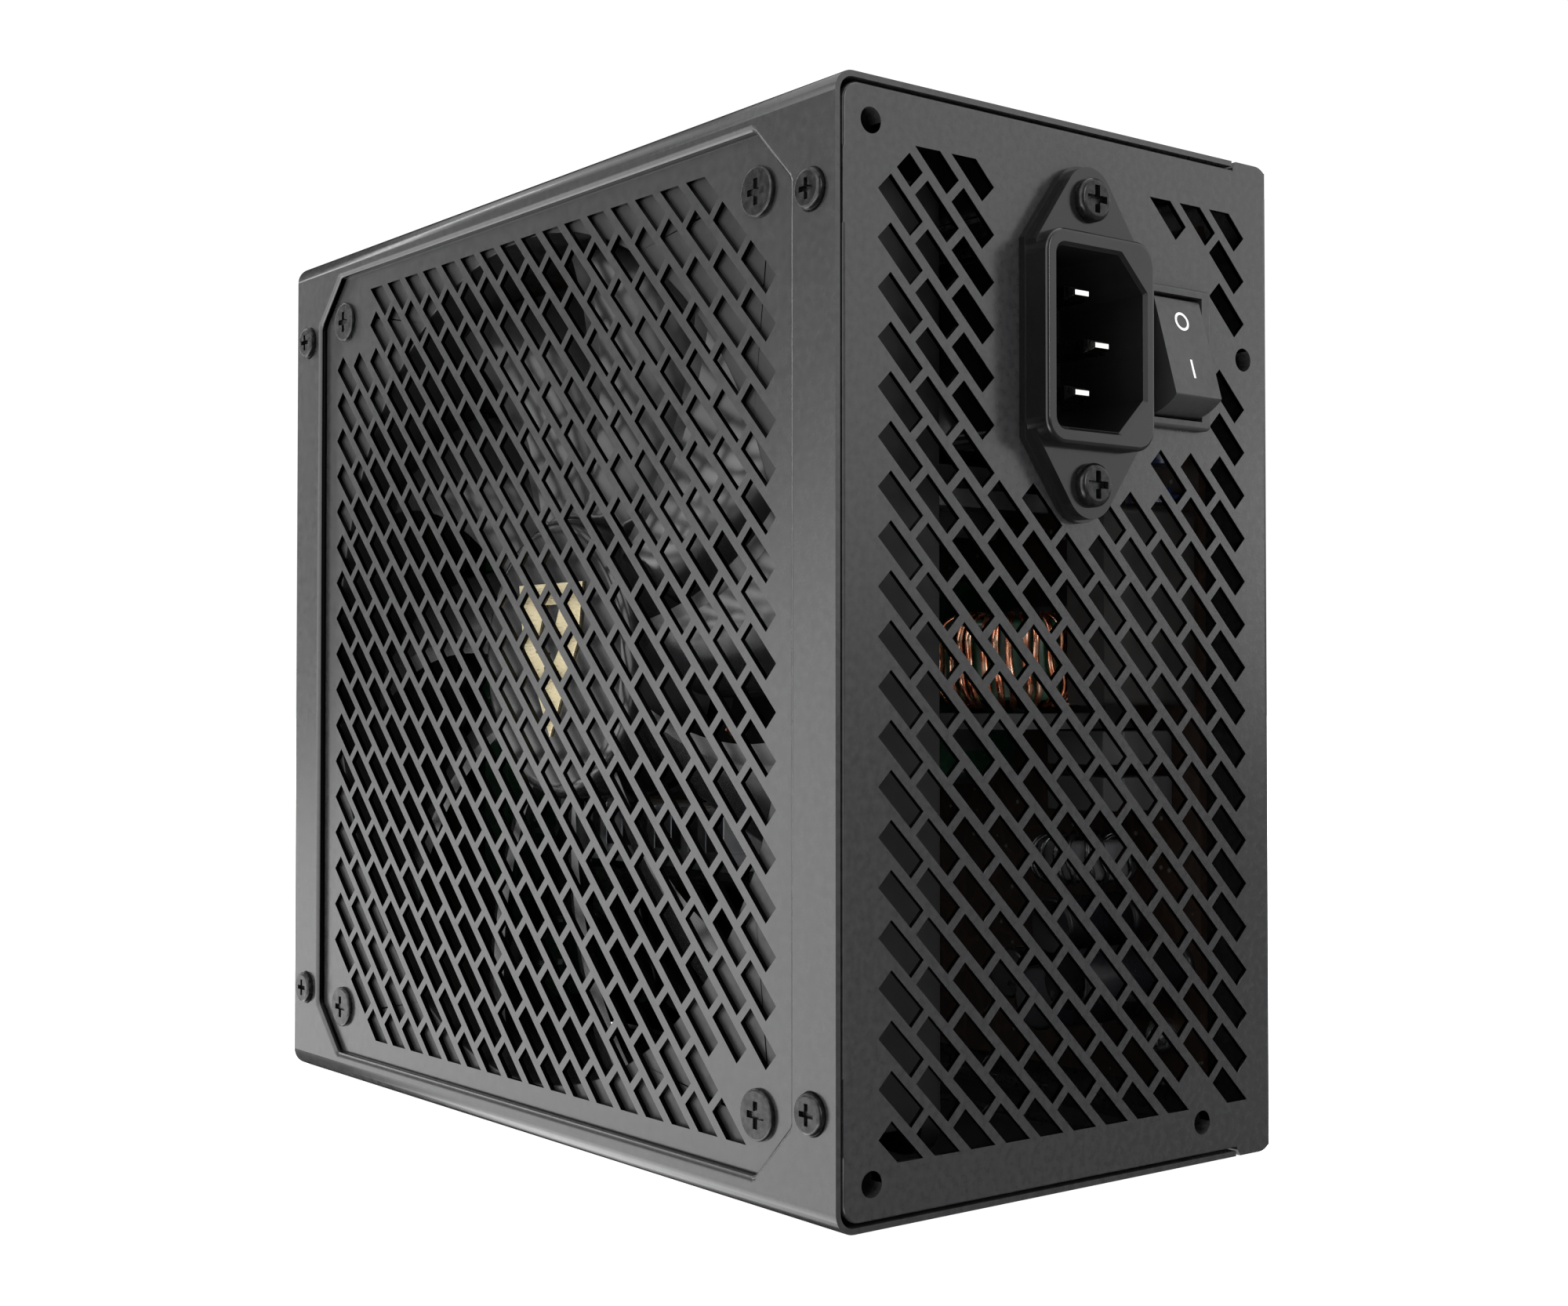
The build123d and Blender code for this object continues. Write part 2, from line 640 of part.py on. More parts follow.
def fan_frame():
    """Square frame: two plates joined by the round duct, two side walls and four posts."""
    back_y = FAN_FRONT_Y + FAN_DEPTH
    plate = rounded(FAN_SIZE, FAN_SIZE, FAN_CORNER_R) - Circle(BORE_R)
    front = extrude(fan_plane(FAN_FRONT_Y + 3.6) * plate, 3.6)
    back = extrude(fan_plane(back_y) * plate, 3.6)
    duct = extrude(fan_plane(back_y) * (Circle(BORE_R + 1.8) - Circle(BORE_R)), FAN_DEPTH)
    frame = joined([front, back, duct])
    half = FAN_SIZE / 2
    for side in (-1, 1):
        x0, x1 = sorted((side * (half - FAN_WALL), side * half))
        frame = frame + block(x0, x1, FAN_FRONT_Y, back_y, MID_Z - half + FAN_CORNER_R,
                              MID_Z + half - FAN_CORNER_R)
    for x, z in fan_screw_places():
        post = facing_fan(back_y, x, z) * rod(4.4, FAN_DEPTH)
        frame = frame + post - facing_fan(back_y + 1, x, z) * rod(2.12, FAN_DEPTH + 2)
    return frame


def fan_spider():
    """Motor base with the bearing boss, held in the duct by four struts."""
    back_y = FAN_FRONT_Y + FAN_DEPTH
    spider = rod(HUB_R, 2.4) + rod(5.2, 15.6)
    for index in range(4):
        strut = Rot(0, 0, 45 + 90 * index + 8) * Pos((HUB_R + BORE_R) / 2, 0, 1.6)
        spider = spider + strut * Box(BORE_R - HUB_R + 2, 5.0, 3.2)
    spider = (spider & rod(BORE_R, FAN_DEPTH)) - Pos(0, 0, 2.4) * rod(3.6, 20)
    return fan_plane(back_y) * spider


def fan_bearing():
    back_y = FAN_FRONT_Y + FAN_DEPTH - 2.4
    return fan_plane(back_y) * ring(3.6, SHAFT_R + RUNNING_GAP, 13.0)


def fan_shaft():
    return fan_plane(-19.6) * rod(SHAFT_R, 15.8)


def blade_section(radius, chord, pitch, sweep):
    """A thin cambered section square to the radius, turned to its pitch and swept round."""
    camber = chord * 0.09
    thickness = 1.7
    tip_a = (-chord / 2, 0)
    tip_b = (chord / 2, 0)
    upper = ThreePointArc(tip_a, (0, camber + thickness / 2), tip_b)
    lower = ThreePointArc(tip_b, (0, camber - thickness / 2), tip_a)
    outline = make_face([upper, lower])
    across = Plane(origin=(radius, 0, 0), x_dir=(0, 1, 0), z_dir=(1, 0, 0))
    return Rot(0, 0, sweep) * (across * (Rot(0, 0, pitch) * outline))


def fan_hub():
    """Motor cup that turns on the shaft."""
    depth = HUB_BACK_Y - HUB_FRONT_Y
    cup = rod(HUB_R, depth)
    cup = fillet(cup.edges().sort_by(Axis.Z)[-1], 2.6)
    cup = cup - rod(HUB_R - 1.6, depth - 1.8) - Pos(0, 0, depth - 2.2) * rod(SHAFT_R, 1.6)
    return fan_plane(HUB_BACK_Y) * cup


def fan_blades():
    """Ring of blades moulded onto the side of the cup."""
    depth = HUB_BACK_Y - HUB_FRONT_Y
    root = blade_section(HUB_R - 1.0, 16.0, 44, 0)
    middle = blade_section(43.0, 24.0, 34, 7)
    tip = blade_section(BLADE_TIP_R + 1.0, 29.0, 25, 17)
    blade = Pos(0, 0, depth / 2 - 0.4) * loft([root, middle, tip])
    blade = blade & Pos(0, 0, 0.3) * ring(BLADE_TIP_R, HUB_R, depth - 3.2)
    blades = []
    for index in range(BLADES):
        blades.append(fan_plane(HUB_BACK_Y) * (Rot(0, 0, 360 / BLADES * index) * blade))
    return group(blades)


def fan_magnet_ring():
    return fan_plane(HUB_BACK_Y - 1.0) * ring(HUB_R - 1.6, HUB_R - 3.4, 11.5)


def fan_hub_badge():
    """A plain shield with a lightning bolt cut through it, on the middle of the hub."""
    shield = Polygon((-9.6, 12.0), (9.6, 12.0), (8.4, 3.0), (0.0, -12.6), (-8.4, 3.0), align=None)
    bolt = Polygon((-1.6, 8.6), (-4.4, 1.0), (-1.2, 1.0), (-2.6, -5.4), (4.2, 3.4), (0.8, 3.4),
                   (3.0, 8.6), align=None)
    return pull(fan_plane(HUB_FRONT_Y), shield - bolt, 0.5)


def stator_tooth():
    arm = Pos(9.5, 0) * Rectangle(9.0, 4.0)
    shoe = (Circle(17.4) - Circle(15.2)) & Pos(16, 0) * Rectangle(8, 17)
    return arm + shoe + Pos(14.4, 0) * Rectangle(2.4, 4.0)


def fan_stator_core():
    """Laminated core with four teeth round the bearing boss."""
    outline = Circle(7.4) - Circle(5.2)
    for index in range(4):
        tooth = Rot(0, 0, 90 * index) * stator_tooth()
        outline = outline + (tooth - Circle(5.2))
    return extrude(fan_plane(-24.4) * outline, 7.0)


def fan_stator_coils():
    """One winding round each tooth of the core."""
    coils = []
    for index in range(4):
        turns = Pos(11.3, 0, 3.5) * Box(6.6, 8.4, 11.0)
        turns = fillet(turns.edges().filter_by(Axis.X), 1.8)
        turns = turns - Pos(11.3, 0, 3.5) * Box(9.0, 4.1, 7.1)
        coils.append(fan_plane(-24.4) * (Rot(0, 0, 90 * index) * turns))
    return group(coils)


def fan_driver_board():
    back_y = FAN_FRONT_Y + FAN_DEPTH - 2.4
    return fan_plane(back_y) * ring(18.0, 5.4, 1.0)


# ---- circuit board and its components ----------------------------------------------------
def main_board():
    board = block(*BOARD_X, BOARD_Y, BOARD_Y + BOARD_THICK, *BOARD_Z)
    for x, z in BOARD_SCREWS:
        board = board - facing_fan(BOARD_Y + 3, x, z) * rod(1.6, 5)
    return board


def insulating_sheet():
    inner = FLOOR_Y - SHEET
    sheet = block(-66, 68, inner - 0.4, inner, 8, 142)
    for x, z in BOARD_SCREWS:
        sheet = sheet - facing_fan(inner + 1, x, z) * rod(3.4, 3)
    return sheet


def toroid_core(outer, inner, height):
    core = ring(outer, inner, height)
    core = fillet(core.edges(), 1.0)
    return Pos(0, 0, -height / 2) * core


def winding(outer, inner, height, wire, first, last):
    """One layer of wire round part of a ring core, from one angle to another."""
    layer = Pos(0, 0, -height / 2 - wire) * ring(outer + wire, inner - wire, height + 2 * wire)
    layer = fillet(layer.edges(), wire * 0.8)
    layer = layer - Pos(0, 0, -height / 2) * ring(outer, inner, height)
    wedge = Rot(0, 0, first) * cylinder_slice(outer + 2 * wire, height + 3 * wire, last - first)
    return layer & wedge


def cylinder_slice(radius, height, angle):
    """A slice of a cylinder centred on the local origin, opening from local +X."""
    return Pos(0, 0, -height / 2) * Cylinder(
        radius, height, arc_size=angle, align=(Align.NONE, Align.NONE, Align.MIN))


FILTER_PLACE = Pos(50.0, 17.5, 74.5)
FILTER_CORE = (10.6, 5.6, 12.4)


def filter_choke_core():
    return FILTER_PLACE * toroid_core(*FILTER_CORE)


def filter_choke_windings():
    """Two windings on opposite halves of the ring."""
    halves = [winding(*FILTER_CORE, 1.3, start, start + 150) for start in (75, 255)]
    return group([FILTER_PLACE * half for half in halves])


def filter_choke_base():
    """Plastic seat that holds the filter choke off the board."""
    bottom = BOARD_Y
    x, y, z = FILTER_PLACE.position
    outer = FILTER_CORE[0] + 1.5
    plate = block(x - 12.5, x + 8.5, y - 10.5, bottom, z - 10.6, z - 8.2)
    foot = block(x - 12.5, x + 8.5, y + outer, bottom, z - 8.2, z + 9)
    return plate + foot


BOOST_PLACE = on_board(-44.0, 112.0) * Pos(0, 0, 19.6)
BOOST_CORE = (15.5, 8.5, 13.0)


def boost_choke_core():
    return BOOST_PLACE * Rot(0, 90, 0) * toroid_core(*BOOST_CORE)


def boost_choke_winding():
    return BOOST_PLACE * Rot(0, 90, 0) * winding(*BOOST_CORE, 1.8, 12, 348)


def boost_choke_cradle():
    """Low seat with a round hollow under the boost choke."""
    seat = on_board(-44.0, 112.0) * (Pos(0, 0, 4.0) * Box(16.0, 26.0, 8.0))
    hollow = BOOST_PLACE * Rot(0, 90, 0) * (Pos(0, 0, -10) * rod(BOOST_CORE[0] + 2.1, 20))
    return seat - hollow


def capacitor(radius, height):
    """An electrolytic can with a rolled groove near its foot."""
    can = rod(radius, height)
    can = fillet(can.edges().sort_by(Axis.Z)[-1], radius * 0.12)
    groove = Pos(0, 0, radius * 0.35) * Torus(radius + radius * 0.04, radius * 0.1)
    return can - groove


def bulk_capacitors():
    return group([on_board(x, 121.5) * capacitor(14.5, 44.0) for x in (-8.0, 24.0)])


def output_capacitors():
    cans = []
    for column in range(4):
        for row in range(2):
            place = on_board(-50.0 + 12.0 * column, 14.5 + 11.5 * row)
            cans.append(place * capacitor(5.0, 22.0 + 3.0 * row))
    return group(cans)


def standby_capacitors():
    """Small cans lying between the standby circuit and the rear grille."""
    places = [(56.0, 22.5, 5.0, 20.0), (66.0, 26.5, 4.5, 24.0), (55.0, 33.2, 4.5, 16.0),
              (45.8, 25.0, 4.0, 16.0)]
    return group([on_board(x, z) * capacitor(r, h) for x, z, r, h in places])


def heatsink(length, height, fins):
    """A thick aluminium plate with a row of fins bent over at its top."""
    plate = Pos(0, 0, height / 2) * Box(length, 3.0, height)
    pitch = length / fins
    sink = plate
    for index in range(fins):
        x = -length / 2 + pitch * (index + 0.5)
        sink = sink + Pos(x, 4.5, height - 7.0) * Box(pitch * 0.45, 9.0, 14.0)
    return sink


def primary_heatsink():
    return on_board(8.0, 101.0) * Rot(0, 0, 180) * heatsink(62.0, 46.0, 12)


def secondary_heatsink():
    return on_board(-22.0, 41.0) * heatsink(56.0, 42.0, 11)


def transistor():
    """A three-legged power transistor standing against a heatsink."""
    body = Pos(0, 0, 14.0) * Box(10.2, 4.4, 15.6)
    legs = body
    for side in (-1, 0, 1):
        legs = legs + Pos(side * 2.54, 0, 3.3) * Box(0.9, 0.6, 6.6)
    return legs


def power_transistors():
    parts = []
    for index in range(4):
        parts.append(on_board(-14.0 + 14.0 * index, 97.3) * transistor())
    for index in range(3):
        parts.append(on_board(-40.0 + 15.0 * index, 37.3) * transistor())
    return group(parts)


def bridge_rectifier():
    body = Pos(0, 0, 14.0) * Box(20.0, 4.0, 18.0)
    for index in range(4):
        body = body + Pos(-7.5 + 5 * index, 0, 3) * Box(1.2, 0.8, 6)
    return on_board(26.0, 104.5) * Pos(0, 0.1, 0) * body


def large_film_capacitor():
    body = Pos(0, 0, 10.1) * Box(7.6, 30.0, 20.2)
    return on_board(66.8, 82.6) * fillet(body.edges().filter_by(Axis.Z), 1.0)


def small_film_capacitors():
    """Two low grey blocks with sloping shoulders, one above the other."""
    shapes = []
    for z in (53.9, 61.0):
        half = 8.0
        side = Polygon((-half, 0), (half, 0), (half, 11.0), (half - 2, 13.4), (-half + 2, 13.4),
                       (-half, 11.0), align=None)
        profile = Plane(origin=(0, 0, -2.6), x_dir=(1, 0, 0), z_dir=(0, 0, 1))
        lying = extrude(profile * side, 5.2)
        shapes.append(on_board(58.0, z) * Rot(90, 0, 0) * lying)
    return group(shapes)


def ceramic_capacitors():
    discs = []
    for z in (100.0, 106.0, 112.0):
        disc = Rot(90, 0, 0) * Cylinder(3.6, 2.4)
        legs = Pos(2.2, 0, 1.7) * Box(0.6, 0.6, 3.4) + Pos(-2.2, 0, 1.7) * Box(0.6, 0.6, 3.4)
        discs.append(on_board(66.0, z) * (Pos(0, 0, 5.2) * disc + legs))
    return group(discs)


def fuse():
    body = Pos(0, 0, 4.2) * Rot(0, 90, 0) * Cylinder(2.6, 20.0)
    for side in (-1, 1):
        body = body + Pos(side * 7.0, 0, 2.1) * Box(1.0, 3.0, 4.2)
    return on_board(52.0, 120.0) * body


def line_choke_core():
    return on_board(56.0, 43.6) * Pos(0, 0, 9.6) * Rot(90, 0, 0) * toroid_core(7.4, 3.8, 6.0)


def line_choke_winding():
    place = on_board(56.0, 43.6) * Pos(0, 0, 9.6) * Rot(90, 0, 0)
    return place * winding(7.4, 3.8, 6.0, 1.0, 10, 320)


TRANSFORMER = on_board(8.0, 70.0)


def transformer_core():
    """Two ferrite E halves closed round the bobbin."""
    outer = Pos(0, 0, 19.0) * Box(38.0, 13.0, 30.0)
    window = Pos(11.5, 0, 19.0) * Box(8.6, 14.0, 20.0)
    return TRANSFORMER * (outer - window - mirror(window, about=Plane.YZ))


def transformer_bobbin():
    """Coil former with a flange and a pin rail at each side."""
    def hollow(shape):
        return shape - Pos(0, 0, 19.0) * Box(14.6, 13.2, 50.0)
    parts = []
    for z in (9.8, 27.0):
        parts.append(hollow(Pos(0, 0, z + 0.6) * Box(30.8, 32.0, 1.2)))
    tube = Pos(0, 0, 19.0) * Box(16.4, 15.2, 18.4)
    parts.append(hollow(tube))
    for side in (-1, 1):
        rail = Pos(0, side * 13.0, 5.0) * Box(30.0, 6.0, 10.0)
        parts.append(rail)
    return TRANSFORMER * joined(parts)


def transformer_windings():
    turns = Pos(0, 0, 19.0) * Box(30.4, 29.0, 15.8)
    turns = fillet(turns.edges().filter_by(Axis.Z), 5.0)
    inner = Pos(0, 0, 19.0) * Box(16.6, 15.4, 20.0)
    return TRANSFORMER * (turns - inner)


OUTPUT_CORE = (9.4, 4.8, 8.0)


def output_choke_places():
    lift = Pos(0, 0, OUTPUT_CORE[0] + 1.6) * Rot(90, 0, 0)
    return [on_board(x, 66.0) * lift for x in (-45.5, -22.6)]


def output_choke_cores():
    return group([place * toroid_core(*OUTPUT_CORE) for place in output_choke_places()])


def output_choke_windings():
    return group([place * winding(*OUTPUT_CORE, 1.3, 10, 320) for place in output_choke_places()])


def control_board():
    """Upright daughterboard beside the transformer."""
    return on_board(30.0, 72.0) * (Pos(0, 0, 16.0) * Box(1.6, 32.0, 32.0))


def control_chips():
    chips = []
    for z, height in ((-9.0, 12.0), (3.0, 12.0), (-3.0, 24.0)):
        chips.append(on_board(30.0, 72.0) * (Pos(1.6, z, height) * Box(1.6, 6.0, 8.0)))
    return group(chips)


# ---- outlet sockets on the front panel ---------------------------------------------------
def facing_front(y, z, x=-REAR_X):
    """A plane whose normal is -X, with local x along -Y and local y along Z."""
    return Plane(origin=(x, y, z), x_dir=(0, -1, 0), z_dir=(-1, 0, 0))


def socket_size(columns):
    """Long and short outside sizes of a two-row socket."""
    return (columns * CELL_PITCH + 1.4, 2 * CELL_PITCH + 1.4)


def outlet_sockets():
    """Places of the sockets, as (y, z, columns), in two lines across the front panel."""
    places = []
    for y, line in ((25.0, (10, 5, 4, 4)), (4.0, (4, 4, 4, 4, 4))):
        widths = [socket_size(columns)[0] for columns in line]
        gap = (122.0 - sum(widths)) / (len(line) - 1)
        edge = MID_Z - 61.0
        for columns, width in zip(line, widths):
            places.append((y, edge + width / 2, columns))
            edge += width + gap
    return places


def cell_places(place):
    y, z, columns = place
    cells = []
    for row in (-0.5, 0.5):
        for column in range(columns):
            offset_z = (column - (columns - 1) / 2) * CELL_PITCH
            cells.append((y + row * CELL_PITCH, z + offset_z))
    return cells


def outlet_socket(place):
    """A two-row socket block with square wells and a latch ramp on one long side."""
    width, height = socket_size(place[2])
    y, z = place[0], place[1]
    x0 = -REAR_X - SOCKET_PROUD
    body = block(x0, x0 + SOCKET_DEPTH, y - height / 2, y + height / 2, z - width / 2, z + width / 2)
    wells = []
    for cell_y, cell_z in cell_places(place):
        wells.append(block(x0 - 1, x0 + 10.4, cell_y - 1.75, cell_y + 1.75,
                           cell_z - 1.75, cell_z + 1.75))
    body = body - group(wells) - group(socket_pins(place))
    collar_x = -REAR_X + SHEET
    flange = block(collar_x, collar_x + 1.2, y - height / 2 - 1.0, y + height / 2 + 1.0,
                   z - width / 2 - 1.0, z + width / 2 + 1.0)
    core = block(collar_x - 1, collar_x + 3, y - height / 2 + 0.1, y + height / 2 - 0.1,
                 z - width / 2 + 0.1, z + width / 2 - 0.1)
    return body + (flange - core)


def sockets_with(columns):
    chosen = [place for place in outlet_sockets() if place[2] == columns]
    return group([outlet_socket(place) for place in chosen])


OUTLET_BOARD_X = -REAR_X - SOCKET_PROUD + SOCKET_DEPTH


def socket_pins(place):
    """Square pins standing in the wells of one socket and soldered into the outlet board."""
    x0 = OUTLET_BOARD_X - SOCKET_DEPTH + 3.0
    x1 = OUTLET_BOARD_X + 3.0
    half = 0.55
    return [block(x0, x1, y - half, y + half, z - half, z + half) for y, z in cell_places(place)]


def outlet_pins():
    pins = []
    for place in outlet_sockets():
        pins.extend(socket_pins(place))
    return group(pins)


def outlet_board():
    board = block(OUTLET_BOARD_X, OUTLET_BOARD_X + 1.6, -10.0, BOARD_Y - 0.6, 10.0, 140.0)
    return board - outlet_pins()


def bus_bars():
    """Bent copper strips that carry the outputs from the main board to the outlet board."""
    bars = []
    for z in (30.0, 48.0, 66.0, 84.0):
        x0 = OUTLET_BOARD_X + 1.6
        upright = block(x0 + 6.0, x0 + 7.5, BOARD_Y - 21.0, BOARD_Y, z - 5, z + 5)
        arm = block(x0, x0 + 7.5, BOARD_Y - 22.5, BOARD_Y - 21.0, z - 5, z + 5)
        bars.append(upright + arm)
    return group(bars)


# ---- write every sub-part ----------------------------------------------------------------
PARTS = {
    "base_tray": base_tray,
    "cover_shell": cover_shell,
    "cover_screws": cover_screws,
    "fan_screws": fan_screws,
    "fan_frame": fan_frame,
    "fan_spider": fan_spider,
    "fan_hub": fan_hub,
    "fan_blades": fan_blades,
    "fan_shaft": fan_shaft,
    "fan_bearing": fan_bearing,
    "fan_magnet_ring": fan_magnet_ring,
    "fan_hub_badge": fan_hub_badge,
    "fan_stator_core": fan_stator_core,
    "fan_stator_coils": fan_stator_coils,
    "fan_driver_board": fan_driver_board,
    "inlet_housing": inlet_housing,
    "inlet_pins": inlet_pins,
    "inlet_screws": inlet_screws,
    "inlet_nuts": inlet_nuts,
    "switch_frame": switch_frame,
    "switch_rocker": switch_rocker,
    "switch_marks": switch_marks,
    "switch_terminals": switch_terminals,
    "main_board": main_board,
    "board_screws": board_screws,
    "insulating_sheet": insulating_sheet,
    "filter_choke_core": filter_choke_core,
    "filter_choke_windings": filter_choke_windings,
    "filter_choke_base": filter_choke_base,
    "boost_choke_core": boost_choke_core,
    "boost_choke_winding": boost_choke_winding,
    "boost_choke_cradle": boost_choke_cradle,
    "line_choke_core": line_choke_core,
    "line_choke_winding": line_choke_winding,
    "bulk_capacitors": bulk_capacitors,
    "output_capacitors": output_capacitors,
    "standby_capacitors": standby_capacitors,
    "large_film_capacitor": large_film_capacitor,
    "small_film_capacitors": small_film_capacitors,
    "ceramic_capacitors": ceramic_capacitors,
    "primary_heatsink": primary_heatsink,
    "secondary_heatsink": secondary_heatsink,
    "power_transistors": power_transistors,
    "bridge_rectifier": bridge_rectifier,
    "fuse": fuse,
    "transformer_core": transformer_core,
    "transformer_bobbin": transformer_bobbin,
    "transformer_windings": transformer_windings,
    "output_choke_cores": output_choke_cores,
    "output_choke_windings": output_choke_windings,
    "control_board": control_board,
    "control_chips": control_chips,
    "outlet_socket_wide": lambda: sockets_with(10),
    "outlet_socket_medium": lambda: sockets_with(5),
    "outlet_sockets_small": lambda: sockets_with(4),
    "outlet_pins": outlet_pins,
    "outlet_board": outlet_board,
    "bus_bars": bus_bars,
}

os.makedirs("parts", exist_ok=True)
for name, make in PARTS.items():
    print(name)
    export_step(make(), f"parts/{name}.step")
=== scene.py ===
import json
import math

import bpy
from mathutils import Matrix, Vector


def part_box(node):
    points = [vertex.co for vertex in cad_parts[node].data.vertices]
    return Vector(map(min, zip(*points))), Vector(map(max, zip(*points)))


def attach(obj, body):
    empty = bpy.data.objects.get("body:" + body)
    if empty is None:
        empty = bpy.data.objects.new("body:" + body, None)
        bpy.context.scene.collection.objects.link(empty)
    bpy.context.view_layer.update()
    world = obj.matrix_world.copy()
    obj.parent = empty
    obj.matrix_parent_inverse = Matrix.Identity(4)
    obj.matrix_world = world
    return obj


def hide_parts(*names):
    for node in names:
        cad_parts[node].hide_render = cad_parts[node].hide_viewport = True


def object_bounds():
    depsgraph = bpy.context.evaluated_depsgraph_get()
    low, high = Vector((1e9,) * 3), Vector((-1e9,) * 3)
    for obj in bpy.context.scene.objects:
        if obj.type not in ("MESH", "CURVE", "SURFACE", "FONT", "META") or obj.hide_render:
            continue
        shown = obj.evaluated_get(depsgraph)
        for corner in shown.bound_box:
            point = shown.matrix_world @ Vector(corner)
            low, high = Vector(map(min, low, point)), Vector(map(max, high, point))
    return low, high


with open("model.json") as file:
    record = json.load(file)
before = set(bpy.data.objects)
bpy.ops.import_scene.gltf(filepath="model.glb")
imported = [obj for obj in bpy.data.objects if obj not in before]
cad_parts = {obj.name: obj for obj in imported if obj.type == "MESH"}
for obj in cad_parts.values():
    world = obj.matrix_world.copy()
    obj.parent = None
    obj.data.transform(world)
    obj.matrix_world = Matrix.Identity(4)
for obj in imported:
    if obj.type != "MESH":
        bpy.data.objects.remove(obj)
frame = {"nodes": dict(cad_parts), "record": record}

CAD_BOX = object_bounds()
NODES = frame["nodes"]

MM = 0.001

# ---- camera ------------------------------------------------------------------------------
CAMERA_PLACE = Vector((0.2862, -0.2121, 0.0688))
CAMERA_AZIMUTH = 52.06     # degrees from +Y towards -X
CAMERA_PITCH = 1.216       # degrees above the horizon
CAMERA_LENS = 47.9         # millimetres on a 36 mm wide sensor

# ---- light levels ------------------------------------------------------------------------
FAN_SIDE_LEVELS = (3.0, 0.50)     # surround below and above, beyond the fan face
REAR_SIDE_LEVELS = (0.26, 1.45)   # the same, beyond the rear panel
FLOOR_LEVEL = 3.8                 # added in a band below the horizon
OVERHEAD_LEVEL = 1.3              # added in a band above the horizon
DARK_LEVEL = 0.03                 # everywhere else
FILL_LEVEL = 0.75                 # even light that matt surfaces receive from all round
BACKDROP_LEVEL = 1.05             # the surround as the camera sees it
FLOOR = 6.0                       # half the floor's width in metres
FLOOR_DROP = 0.0002               # gap between the object and the floor
FLOOR_LIT = 0.90                  # the floor is a lit table, so that it shows hardly a shadow

# ---- directions of the surround's light ---------------------------------------------------
FAN_SIDE = (-0.35, -0.94, 0)
REAR_SIDE = (0.80, 0.60, 0)
UPWARDS = (0, 0, 1)
SLANTED = (-1.04, 0, 1)           # the fan side's light changes its level across this slant

# ---- lamps: name, place, aim, size in metres and watts ------------------------------------
LAMPS = (
    ("top_softbox", (0.0, 0.0, 1.3), (0.0, 0.0, 0.0), (1.6, 1.6), 14.0),
    ("rear_edge_strip", (1.4, 0.05, 0.65), (0.08, 0.0, 0.08), (0.14, 0.9), 4.5),
    ("rear_side_strip", (1.0, 1.3, 0.17), (0.08, 0.04, 0.08), (0.12, 0.25), 0.3),
    ("fan_edge_strip", (-1.45, -0.36, 0.45), (0.0, -0.04, 0.08), (0.16, 1.2), 3.0),
)

# ---- sockets of Blender's Mix node --------------------------------------------------------
MIX_SHARE = 0
MIX_FIRST_VALUE, MIX_SECOND_VALUE, MIX_VALUE = 2, 3, 0
MIX_FIRST_COLOUR, MIX_SECOND_COLOUR, MIX_COLOUR = 6, 7, 2


def make_camera():
    """The camera at the photograph's viewing angle."""
    data = bpy.data.cameras.new("camera")
    data.sensor_width = 36.0
    data.lens = CAMERA_LENS
    data.clip_start = 0.01
    camera = bpy.data.objects.new("camera", data)
    camera.location = CAMERA_PLACE
    camera.rotation_euler = (math.radians(90 + CAMERA_PITCH), 0, math.radians(CAMERA_AZIMUTH))
    bpy.context.scene.collection.objects.link(camera)
    bpy.context.scene.camera = camera


# ---- studio ------------------------------------------------------------------------------
def area_light(name, place, aim, size, watts):
    """A soft rectangular lamp that faces a point."""
    data = bpy.data.lights.new(name, "AREA")
    data.shape = "RECTANGLE"
    data.size, data.size_y = size
    data.energy = watts
    light = bpy.data.objects.new(name, data)
    light.location = place
    light.rotation_euler = (Vector(aim) - Vector(place)).to_track_quat("-Z", "Y").to_euler()
    bpy.context.scene.collection.objects.link(light)


def gradient(tree, value, from_low, from_high, to_low, to_high):
    """A smooth step between two brightness levels."""
    change = tree.nodes.new("ShaderNodeMapRange")
    change.interpolation_type = "SMOOTHSTEP"
    change.inputs["From Min"].default_value = from_low
    change.inputs["From Max"].default_value = from_high
    change.inputs["To Min"].default_value = to_low
    change.inputs["To Max"].default_value = to_high
    tree.links.new(value, change.inputs["Value"])
    return change.outputs["Result"]


def along(tree, direction, axis):
    """How far a direction leans towards an axis, from -1 to 1."""
    product = tree.nodes.new("ShaderNodeVectorMath")
    product.operation = "DOT_PRODUCT"
    product.inputs[1].default_value = axis
    tree.links.new(direction, product.inputs[0])
    return product.outputs["Value"]


def combined(tree, operation, first, second):
    """Two values joined by an operation such as ADD or MULTIPLY."""
    step = tree.nodes.new("ShaderNodeMath")
    step.operation = operation
    tree.links.new(first, step.inputs[0])
    tree.links.new(second, step.inputs[1])
    return step.outputs[0]


def side_lights(tree, direction, height):
    """Soft walls of light beyond the fan face and the rear panel.

    On the fan's side the light brightens downwards, on the rear's side upwards.
    """
    fan_share = gradient(tree, along(tree, direction, FAN_SIDE), 0.25, 0.90, 0.0, 1.0)
    slanted = along(tree, direction, SLANTED)
    fan_level = gradient(tree, slanted, 0.865, 0.935, *FAN_SIDE_LEVELS)
    rear_share = gradient(tree, along(tree, direction, REAR_SIDE), 0.35, 0.80, 0.0, 1.0)
    rear_level = gradient(tree, height, -0.01, 0.10, *REAR_SIDE_LEVELS)
    return combined(tree, "ADD", combined(tree, "MULTIPLY", fan_share, fan_level),
                    combined(tree, "MULTIPLY", rear_share, rear_level))


